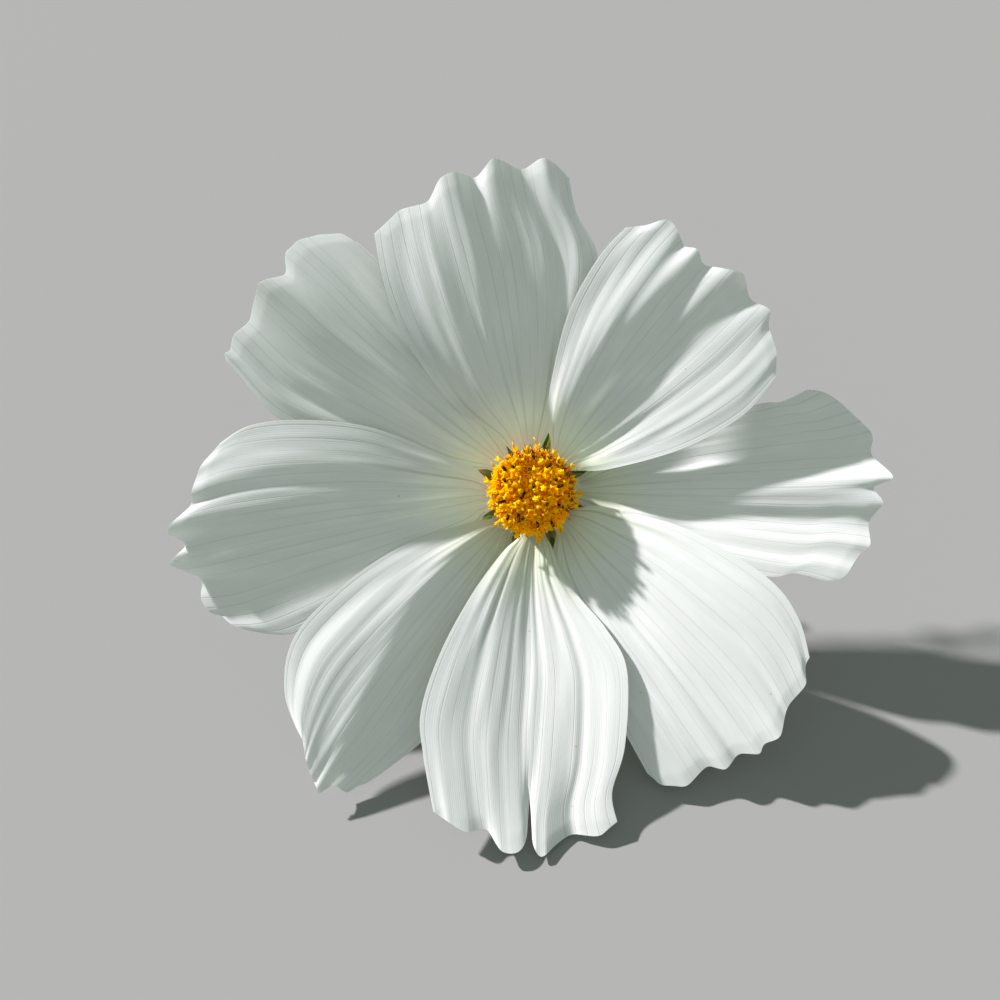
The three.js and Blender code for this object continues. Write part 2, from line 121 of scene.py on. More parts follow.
def evenly(curve: np.ndarray, shares: np.ndarray) -> np.ndarray:
    """Points at given shares of a curve's length.

    Args:
        curve: The curve's points, close together.
        shares: Shares of the length, 0 to 1.

    Returns:
        One point for each share.
    """
    steps = np.linalg.norm(np.diff(curve, axis=0), axis=1)
    run = np.concatenate([[0.0], np.cumsum(steps)])
    return np.stack([np.interp(shares * run[-1], run, curve[:, i]) for i in range(curve.shape[1])], 1)


def evened(line: np.ndarray, rounds: int) -> np.ndarray:
    """A line of points with its corners averaged out, between the same ends.

    Args:
        line: The points.
        rounds: How often each is averaged with its neighbours.

    Returns:
        The new points.
    """
    line = line.copy()
    for _ in range(rounds):
        line[1:-1] = (line[:-2] + 2 * line[1:-1] + line[2:]) / 4
    return line


def drift(seed: int, cells: tuple[int, int], u: np.ndarray, v: np.ndarray) -> np.ndarray:
    """Smooth random relief over a petal, between about -1 and 1.

    Args:
        seed: Fixes the relief.
        cells: How many cells lie across and along.
        u: Places across, 0 to 1.
        v: Places along, 0 to 1.

    Returns:
        The relief at each place.
    """
    rng = np.random.default_rng(seed)
    lattice = rng.uniform(-1.0, 1.0, (cells[0] + 3, cells[1] + 3))
    x, y = u * cells[0], v * cells[1]
    i, j = np.floor(x).astype(int), np.floor(y).astype(int)
    fx, fy = smoothstep(0.0, 1.0, x - i), smoothstep(0.0, 1.0, y - j)
    low = lattice[i, j] * (1 - fx) + lattice[i + 1, j] * fx
    high = lattice[i, j + 1] * (1 - fx) + lattice[i + 1, j + 1] * fx
    return low * (1 - fy) + high * fy


# ---------------------------------------------------------------- meshes


@dataclass
class Shell:
    """A mesh in the making: points in millimetres, faces, and a flat map of its surface."""

    points: np.ndarray
    faces: list[tuple[int, ...]]
    flat: np.ndarray

    def moved(self, matrix: Matrix) -> Shell:
        """This shell with its points moved by a 4 by 4 matrix."""
        turn = np.array(matrix.to_3x3())
        return Shell(self.points @ turn.T + np.array(matrix.translation), self.faces, self.flat)


def merged(shells: Sequence[Shell]) -> Shell:
    """Put several shells in one, each still closed by itself.

    Args:
        shells: The shells.

    Returns:
        One shell with all of their points and faces.
    """
    faces: list[tuple[int, ...]] = []
    start = 0
    for shell in shells:
        faces += [tuple(start + i for i in face) for face in shell.faces]
        start += len(shell.points)
    points = np.vstack([shell.points for shell in shells])
    return Shell(points, faces, np.vstack([shell.flat for shell in shells]))


def plate(grid: np.ndarray, columns: int, thickness: np.ndarray, flat: np.ndarray) -> Shell:
    """A closed solid from a sheet of points: the sheet raised and lowered, with a wall round its rim.

    Args:
        grid: The sheet's points, row by row outwards, each row from right to left.
        columns: Points in a row.
        thickness: The solid's thickness at each point, along Z.
        flat: The sheet's flat map.

    Returns:
        The solid's shell.
    """
    rows, under = len(grid) // columns, len(grid)
    half = np.stack([np.zeros(under), np.zeros(under), thickness / 2], 1)
    a = (np.arange(rows - 1)[:, None] * columns + np.arange(columns - 1)).ravel()
    b, c, d = a + 1, a + columns + 1, a + columns
    faces = list(map(tuple, np.stack([a, d, c, b], 1).tolist()))
    faces += list(map(tuple, (np.stack([a, b, c, d], 1) + under).tolist()))
    rim = [*range(columns), *range(2 * columns - 1, under, columns)]
    rim += [*range(under - 2, under - columns - 1, -1), *range(under - 2 * columns, 0, -columns)]
    faces += [(i, j, under + j, under + i) for i, j in zip(rim, rim[1:] + rim[:1])]
    return Shell(np.vstack([grid + half, grid - half]), faces, np.vstack([flat, flat]))


def ringed(rings: Sequence[np.ndarray], lengths: Sequence[float] | None = None) -> Shell:
    """A closed solid through rings of equally many points, each anticlockwise seen from its far end.

    Args:
        rings: The rings in order. The first and last are closed by a fan to their middle.
        lengths: Each ring's place in the flat map, 0 to 1. Even if left out.

    Returns:
        The solid's shell.
    """
    count, sides = len(rings), len(rings[0])
    along = np.linspace(0.0, 1.0, count) if lengths is None else np.array(lengths)
    points = np.vstack([*rings, rings[0].mean(0)[None], rings[-1].mean(0)[None]])
    flat = np.stack([np.tile(np.arange(sides) / sides, count), np.repeat(along, sides)], 1)
    flat = np.vstack([flat, [[0.5, along[0]], [0.5, along[-1]]]])
    faces: list[tuple[int, ...]] = []
    foot, crown, last = count * sides, count * sides + 1, (count - 1) * sides
    for j in range(sides):
        k = (j + 1) % sides
        faces += [(at + j, at + k, at + sides + k, at + sides + j) for at in range(0, last, sides)]
        faces += [(foot, k, j), (crown, last + j, last + k)]
    return Shell(points, faces, flat)


def circle(radius: float, height: float, sides: int) -> np.ndarray:
    """A ring of points round Z."""
    angle = np.arange(sides) * 2 * math.pi / sides
    return np.stack([radius * np.cos(angle), radius * np.sin(angle), np.full(sides, height)], 1)


def make_object(
    name: str, shell: Shell, finish: bpy.types.Material, smooth: float = 60.0
) -> bpy.types.Object:
    """Make an object of a shell, at the origin, with its flat map as its UV map.

    Args:
        name: The object's name.
        shell: The mesh, in millimetres.
        finish: Its material.
        smooth: Edges sharper than this many degrees stay sharp.

    Returns:
        The object, linked to the scene.
    """
    mesh = bpy.data.meshes.new(name)
    mesh.from_pydata((shell.points * MM).tolist(), [], shell.faces)
    corners = np.empty(len(mesh.loops), dtype=np.int32)
    mesh.loops.foreach_get("vertex_index", corners)
    mesh.uv_layers.new(name="flat").data.foreach_set("uv", shell.flat[corners].astype(np.float32).ravel())
    mesh.materials.append(finish)
    mesh.shade_smooth()
    mesh.set_sharp_from_angle(angle=math.radians(smooth))
    mesh.validate()
    return linked(name, mesh)


def linked(name: str, data: bpy.types.ID) -> bpy.types.Object:
    """Make an object of a mesh, a curve, a light or a camera.

    Args:
        name: The object's name.
        data: What it shows.

    Returns:
        The object, linked to the scene.
    """
    piece = bpy.data.objects.new(name, data)
    bpy.context.scene.collection.objects.link(piece)
    return piece


def settle(piece: bpy.types.Object, node: str) -> None:
    """Tie a finished piece to the frame and report it.

    Args:
        piece: The piece.
        node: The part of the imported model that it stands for.
    """
    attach(piece, "root")
    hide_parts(node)
    triangles = sum(len(face.vertices) - 2 for face in piece.data.polygons)
    LOG.info("%s: %d triangles", piece.name, triangles)


# ---------------------------------------------------------------- node trees


def add(tree: bpy.types.NodeTree, kind: str, inputs: dict | None = None, **settings: Any) -> bpy.types.Node:
    """Add a node to a tree, with its settings and its inputs.

    Args:
        tree: A material's or a geometry node tree.
        kind: The node's type.
        inputs: Socket name or number to a value, to the output socket that feeds it, or to a node
            whose first output in use feeds it.
        settings: The node's own properties.

    Returns:
        The new node.
    """
    node = tree.nodes.new(kind)
    for name, value in settings.items():
        setattr(node, name, value)
    for key, value in (inputs or {}).items():
        if isinstance(value, bpy.types.Node):
            value = next(socket for socket in value.outputs if socket.enabled)
        if isinstance(value, bpy.types.NodeSocket):
            tree.links.new(value, node.inputs[key])
        else:
            node.inputs[key].default_value = value
    return node


def blank_material(name: str) -> bpy.types.Material:
    """Make a material with an empty node tree.

    Args:
        name: The material's name.

    Returns:
        The material.
    """
    material = bpy.data.materials.new(name)
    material.use_nodes = True
    material.node_tree.nodes.clear()
    return material


def geometry_tree(name: str, inputs: dict[str, str]) -> bpy.types.NodeTree:
    """A new geometry tree with one geometry output.

    Args:
        name: The tree's name.
        inputs: Each input's name and kind.

    Returns:
        The tree, with no nodes yet.
    """
    tree = bpy.data.node_groups.new(name, "GeometryNodeTree")
    tree.interface.new_socket("Geometry", in_out="OUTPUT", socket_type="NodeSocketGeometry")
    for label, kind in inputs.items():
        tree.interface.new_socket(label, in_out="INPUT", socket_type=f"NodeSocket{kind}")
    return tree


def end_tree(tree: bpy.types.NodeTree, geometry: bpy.types.Node, material: bpy.types.NodeSocket) -> None:
    """End a geometry tree: make its copies real, give them a material and put them out.

    Args:
        tree: The tree.
        geometry: The node that gives the finished shape.
        material: The input that gives the material.
    """
    real = add(tree, "GeometryNodeRealizeInstances", {"Geometry": geometry})
    dressed = add(tree, "GeometryNodeSetMaterial", {"Geometry": real, "Material": material})
    add(tree, "NodeGroupOutput", {0: dressed})


def from_tree(
    name: str, carrier: bpy.types.Object, tree: bpy.types.NodeTree, values: dict[str, Any]
) -> bpy.types.Object:
    """Run a geometry tree on a carrier object and keep the result as a plain mesh.

    Args:
        name: The piece's name.
        carrier: The object that the tree works on, which is removed.
        tree: The tree.
        values: Input name to value.

    Returns:
        The new piece.
    """
    modifier = carrier.modifiers.new("rule", "NODES")
    modifier.node_group = tree
    for item in tree.interface.items_tree:
        if item.in_out == "INPUT" and item.name in values:
            modifier[item.identifier] = values[item.name]
    bpy.context.view_layer.update()
    ready = carrier.evaluated_get(bpy.context.evaluated_depsgraph_get())
    mesh = bpy.data.meshes.new_from_object(ready)
    mesh.name = name
    carrier.modifiers.remove(modifier)
    bpy.data.objects.remove(carrier)
    return linked(name, mesh)


# ---------------------------------------------------------------- finishes


@dataclass(frozen=True)
class Lines:
    """Thin lines from a petal's claw to its tip: how many lie across, and each one's share of the spacing.

    They are strong in patches, so many across, along and deep, where noise is above a level.
    """

    count: float
    share: float
    patches: tuple[float, float, float]
    level: float


@dataclass(frozen=True)
class PetalTissue:
    """Living ray petal: thin, matt and waxy, so that light both scatters off it and shines through.

    It is white, with fine veins from claw to tip and a rare speck. At the claw it is creamy olive,
    partly its own tint and partly painted light tinted by the green bracts and the yellow disc, and
    its folds there are darkened with painted shade. The light that soaks through the claws from
    behind is painted as a faint glow, an emission of their own. A petal is some 24 mm across, so
    its 8 painted fold lines lie 3 mm apart, its 19 veins 1.3 mm and its 104 striations 0.23 mm.
    """

    name: str
    # Strength of the painted glow at the claws: an emission standing in for light that soaks through them.
    painted_claw_glow: float
    white: str = "#f4f5f5"
    # Creamy olive at the claw: partly the tissue's own tint, partly painted light tinted by the bracts and
    # disc.
    claw: str = "#e2e8c8"
    # Painted shade: the colour that darkens the folds near the claw.
    painted_crease_shade: str = "#d0d4c4"
    vein: str = "#f2eef0"
    stripe: str = "#f7f8f6"
    speck: str = "#c79a22"
    through: str = "#eef0e6"
    # Colour of the painted glow at the claws.
    painted_glow_colour: str = "#d0e8e8"
    shine_through: float = 0.38
    roughness: float = 0.55
    specular: float = 0.3
    # Lines of painted shade along the folds near the claw.
    painted_crease_lines: Lines = Lines(8.0, 0.17, (9.0, 0.7, 9.0), 0.4)
    veins: Lines = Lines(19.0, 0.09, (11.0, 1.3, 1.0), 0.36)
    stripes: Lines = Lines(104.0, 0.5, (23.0, 5.0, 4.0), 0.3)
    patch_edge: float = 0.22
    stray: float = 0.012
    stray_patches: tuple[float, float, float] = (5.0, 1.5, 1.0)
    claw_reach: float = 0.32
    claw_depth: float = 0.95
    painted_crease_reach: Pair = (0.05, 0.5)
    vein_depth: float = 0.012
    grain_size: float = 0.35
    grain_share: float = 0.25
    stripe_share: float = 0.35
    speck_spacing: float = 2.6
    speck_rim: Pair = (0.03, 0.065)
    speck_gaps: float = 0.8
    speck_strength: float = 0.45

    def lines(
        self, tree: bpy.types.NodeTree, flat: bpy.types.Node, stray: bpy.types.Node, rule: Lines
    ) -> bpy.types.Node:
        """Draw one family of lines, strong in some places and faint in others.

        Args:
            tree: The material's tree.
            flat: The petal's flat map.
            stray: How the lines wander on their way out.
            rule: The family.

        Returns:
            The node that gives 0 between the lines and up to 1 on them.
        """
        node = partial(add, tree)
        across = node("ShaderNodeSeparateXYZ", {0: flat})
        bent = node("ShaderNodeMath", {0: stray, 1: rule.count * self.stray}, operation="MULTIPLY")
        lane = node("ShaderNodeMath", {0: across, 1: rule.count, 2: bent}, operation="MULTIPLY_ADD")
        wave = node("ShaderNodeMath", {0: lane, 1: 0.5}, operation="PINGPONG")
        line = node("ShaderNodeMapRange", {0: wave, 1: 0.5 - rule.share, 2: 0.5},
                    interpolation_type="SMOOTHSTEP")
        patches = node("ShaderNodeVectorMath", {0: flat, 1: rule.patches}, operation="MULTIPLY")
        noise = node("ShaderNodeTexNoise", {"Vector": patches, "Scale": 1.0, "Detail": 1.0})
        strong = node("ShaderNodeMapRange", {0: noise, 1: rule.level, 2: rule.level + self.patch_edge})
        return node("ShaderNodeMath", {0: line, 1: strong}, operation="MULTIPLY")

    def build(self) -> bpy.types.Material:
        """Make the material.

        Returns:
            The material.
        """
        material = blank_material(self.name)
        node = partial(add, material.node_tree)
        flat = node("ShaderNodeUVMap", uv_map="flat")
        along = node("ShaderNodeSeparateXYZ", {0: flat}).outputs["Y"]
        place = node("ShaderNodeTexCoord").outputs["Object"]
        stretch = node("ShaderNodeVectorMath", {0: flat, 1: self.stray_patches}, operation="MULTIPLY")
        stray = node("ShaderNodeTexNoise", {"Vector": stretch, "Scale": 1.0, "Detail": 2.0})
        families = (self.veins, self.stripes, self.painted_crease_lines)
        vein, stripe, painted_crease_shade = (self.lines(material.node_tree, flat, stray, rule) for rule in families)

        # White, creamy olive at the claw (partly painted light), painted shade darkening the folds near the
        # claw, and a trace darker along the veins.
        claw = node("ShaderNodeMapRange", {0: along, 1: 0.0, 2: self.claw_reach, 3: self.claw_depth, 4: 0.0},
                    interpolation_type="SMOOTHSTEP")
        first, last = self.painted_crease_reach
        near_claw = node("ShaderNodeMapRange", {0: along, 1: first, 2: last, 3: 1.0, 4: 0.0})
        painted_crease_share = node("ShaderNodeMath", {0: painted_crease_shade, 1: near_claw}, operation="MULTIPLY")
        colour = node("ShaderNodeMix", {0: claw, 6: linear(self.white), 7: linear(self.claw)},
                      data_type="RGBA")
        for share, shade in ((painted_crease_share, self.painted_crease_shade), (vein, self.vein), (stripe, self.stripe)):
            colour = node("ShaderNodeMix", {0: share, 6: colour, 7: linear(shade)},
                          data_type="RGBA", blend_type="MULTIPLY")

        # Specks of pollen, one here and there.
        cells = node("ShaderNodeTexVoronoi", {"Vector": place, "Scale": 1.0 / (self.speck_spacing * MM)})
        inner, outer = self.speck_rim
        near = node("ShaderNodeMapRange", {0: cells, 1: inner, 2: outer, 3: self.speck_strength, 4: 0.0})
        pick = node("ShaderNodeSeparateColor", {0: cells.outputs["Color"]})
        rare = node("ShaderNodeMath", {0: pick, 1: self.speck_gaps}, operation="GREATER_THAN")
        speck = node("ShaderNodeMath", {0: near, 1: rare}, operation="MULTIPLY")
        colour = node("ShaderNodeMix", {0: speck, 6: colour, 7: linear(self.speck)}, data_type="RGBA")

        # The veins are shallow furrows, and the skin has a fine grain of cells.
        grain = node("ShaderNodeTexNoise",
                     {"Vector": place, "Scale": 1.0 / (self.grain_size * MM), "Detail": 2.0})
        raised = node("ShaderNodeMath", {0: grain, 1: self.grain_share}, operation="MULTIPLY")
        furrows = node("ShaderNodeMath", {0: stripe, 1: self.stripe_share, 2: vein},
                       operation="MULTIPLY_ADD")
        relief = node("ShaderNodeMath", {0: raised, 1: furrows}, operation="SUBTRACT")
        bump = node("ShaderNodeBump", {"Height": relief, "Distance": self.vein_depth * MM, "Strength": 1.0})

        # Painted glow: an emission at the claws standing in for the light that soaks through them from
        # behind.
        glow = node("ShaderNodeMath", {0: claw, 1: self.painted_claw_glow}, operation="MULTIPLY")
        skin = node("ShaderNodeBsdfPrincipled",
                    {"Base Color": colour, "Roughness": self.roughness, "Specular IOR Level": self.specular,
                     "Normal": bump, "Emission Color": linear(self.painted_glow_colour),
                     "Emission Strength": glow})
        tinted = node("ShaderNodeMix", {0: 1.0, 6: colour, 7: linear(self.through)},
                      data_type="RGBA", blend_type="MULTIPLY")
        through = node("ShaderNodeBsdfTranslucent", {"Color": tinted, "Normal": bump})
        surface = node("ShaderNodeMixShader", {0: self.shine_through, 1: skin, 2: through})
        node("ShaderNodeOutputMaterial", {"Surface": surface})
        return material


# The petals towards the sun: their claws carry the stronger painted glow, standing in for sunlight that
# soaks through them from behind.
SUNWARD_PETAL = PetalTissue("cosmos petal tissue, lit through", 0.26)
# The petals on the far side: the same tissue with only a faint painted glow, as their claws lie in the
# disc's shade.
LEEWARD_PETAL = PetalTissue("cosmos petal tissue, shaded", 0.06)


@dataclass(frozen=True)
class SoftTissue:
    """Plant tissue shaded along its own length: one colour low down and another at the tips.

    Each copy may be lighter or darker than the next, by the attribute "tint". Soft lets light
    wander inside the tissue, glow lets it through, light is a painted glow, an emission in the
    tissue's own colour that makes up for the light a dense head of florets throws from one to the
    next, and grain is a relief of cells.
    """

    name: str
    low: str
    high: str
    turn: Pair = (0.0, 1.0)
    spread: float = 0.0
    roughness: float = 0.6
    specular: float = 0.3
    glow: float = 0.0
    grain: float = 0.0
    grain_size: float = 0.5
    soft: float = 0.0
    soft_colours: tuple[float, float, float] = (1.0, 0.6, 0.12)
    soft_reach: float = 0.9
    # Painted glow: emission strength in the tissue's own colour.
    light: float = 0.0

    def build(self) -> bpy.types.Material:
        """Make the material.

        Returns:
            The material.
        """
        material = blank_material(self.name)
        node = partial(add, material.node_tree)
        along = node("ShaderNodeSeparateXYZ", {0: node("ShaderNodeUVMap", uv_map="flat")}).outputs["Y"]
        share = node("ShaderNodeMapRange", {0: along, 1: self.turn[0], 2: self.turn[1]},
                     interpolation_type="SMOOTHSTEP")
        colour = node("ShaderNodeMix", {0: share, 6: linear(self.low), 7: linear(self.high)},
                      data_type="RGBA")
        if self.spread > 0:
            tint = node("ShaderNodeAttribute", attribute_name="tint").outputs["Fac"]
            level = node("ShaderNodeMapRange", {0: tint, 3: 1.0 - self.spread, 4: 1.0 + self.spread})
            colour = node("ShaderNodeVectorMath", {0: colour, "Scale": level}, operation="SCALE")
        inputs = {
            "Base Color": colour, "Roughness": self.roughness, "Specular IOR Level": self.specular,
            "Subsurface Weight": self.soft, "Subsurface Radius": self.soft_colours,
            "Subsurface Scale": self.soft_reach * MM,
            "Emission Color": colour, "Emission Strength": self.light,
        }
        if self.grain > 0:
            place = node("ShaderNodeTexCoord").outputs["Object"]
            cells = node("ShaderNodeTexNoise",
                         {"Vector": place, "Scale": 1.0 / (self.grain_size * MM), "Detail": 3.0})
            inputs["Normal"] = node("ShaderNodeBump", {"Height": cells, "Distance": self.grain * MM})
        surface = node("ShaderNodeBsdfPrincipled", inputs)
        if self.glow > 0:
            through = node("ShaderNodeBsdfTranslucent", {"Color": colour})
            surface = node("ShaderNodeMixShader", {0: self.glow, 1: surface, 2: through})
        node("ShaderNodeOutputMaterial", {"Surface": surface})
        return material


# Living floret lobes, waxy and slightly see-through: golden at the tips, orange in the throat, with a faint
# painted glow.
FLORET = SoftTissue("cosmos floret tissue", "#eeab00", "#fcd000", (0.1, 0.7), spread=0.1, roughness=0.65,
                    specular=0.08, glow=0.4, soft=0.8, light=0.09)
# Closed buds at the middle of the disc: smoother than the open florets, with the same faint painted glow.
BUD = SoftTissue("cosmos floret bud tissue", "#eeab00", "#f6ca00", (0.1, 0.7), spread=0.08, specular=0.12,
                 glow=0.35, soft=0.8, light=0.09)
# Fused anthers: dark brown, almost black tubes with a dull skin.
ANTHER = SoftTissue("cosmos anther tube", "#3a2206", "#55360c", (0.3, 1.0), spread=0.25, roughness=0.8,
                    specular=0.04)
# Styles and pollen threads: thin, bright yellow and a little see-through.
STYLE = SoftTissue("cosmos style and pollen", "#c98c00", "#f2c83a", spread=0.15, glow=0.3)
# Withered florets: dry and curled, orange-brown.
WITHERED = SoftTissue("withered cosmos floret", "#6a320c", "#b46218", (0.1, 0.9), spread=0.35,
                      roughness=0.75, specular=0.15, glow=0.1)
# The receptacle's top between the florets: orange-brown darkened as painted shade between the florets, with
# a faint painted glow.
DOME = SoftTissue("cosmos disc receptacle", "#b86400", "#d08000", roughness=0.8, specular=0.2, light=0.08)
# Outer bracts: firm leaf-green tissue, darker at the root, with a grain of large cells.
OUTER_BRACT = SoftTissue("cosmos outer bract", "#64801e", "#93ab48", (0.2, 0.9), roughness=0.5,
                         specular=0.4, glow=0.15, grain=0.03)
# Inner bracts: papery, straw-green and thin enough to glow.
INNER_BRACT = SoftTissue("papery cosmos inner bract", "#6f7c34", "#b9bd86", (0.0, 0.8), glow=0.3,
                         grain=0.02, grain_size=0.4)
# Stalk: smooth ribbed green skin with a faint wax bloom.
STALK = SoftTissue("cosmos stalk skin", "#5f7a20", "#7d9430", roughness=0.45, specular=0.4, grain=0.02,
                   grain_size=0.6)


# ---------------------------------------------------------------- where the head stands


@dataclass(frozen=True)
class HeadFrame:
    """The flower head's own plane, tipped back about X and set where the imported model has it."""

    centre: Vector
    tilt: float = 30.0

    @property
    def matrix(self) -> Matrix:
        """The move from the head's plane to the row frame, in millimetres."""
        return Matrix.Translation(self.centre) @ Matrix.Rotation(math.radians(self.tilt), 4, "X")

    def place(self, shell: Shell) -> Shell:
        """A shell made in the head's plane, moved to where it stands."""
        return shell.moved(self.matrix)


# ---------------------------------------------------------------- petals

# The bowl that all petals share: how high it would climb, how slowly, and where it starts.
BOWL_RISE = 12.0
BOWL_REACH = 36.0
BOWL_START = 4.2


@dataclass(frozen=True)
class PetalShape:
    """One petal's outline and form, in the head's plane.

    The outline is (along, across): along points away from the disc, and across is positive to
    the left of that. Over, curl and lift are given for the right and left edges, lift with the
    middle between them. A fold is (place across 0 to 1, height, half width), with a fourth number
    if it drifts: how far across it moves from claw to tip.
    """

    name: str
    azimuth: float
    left: Outline
    right: Outline
    tip: Outline
    over: Pair
    curl: Pair
    lift: tuple[float, float, float]
    folds: tuple[tuple[float, ...], ...]


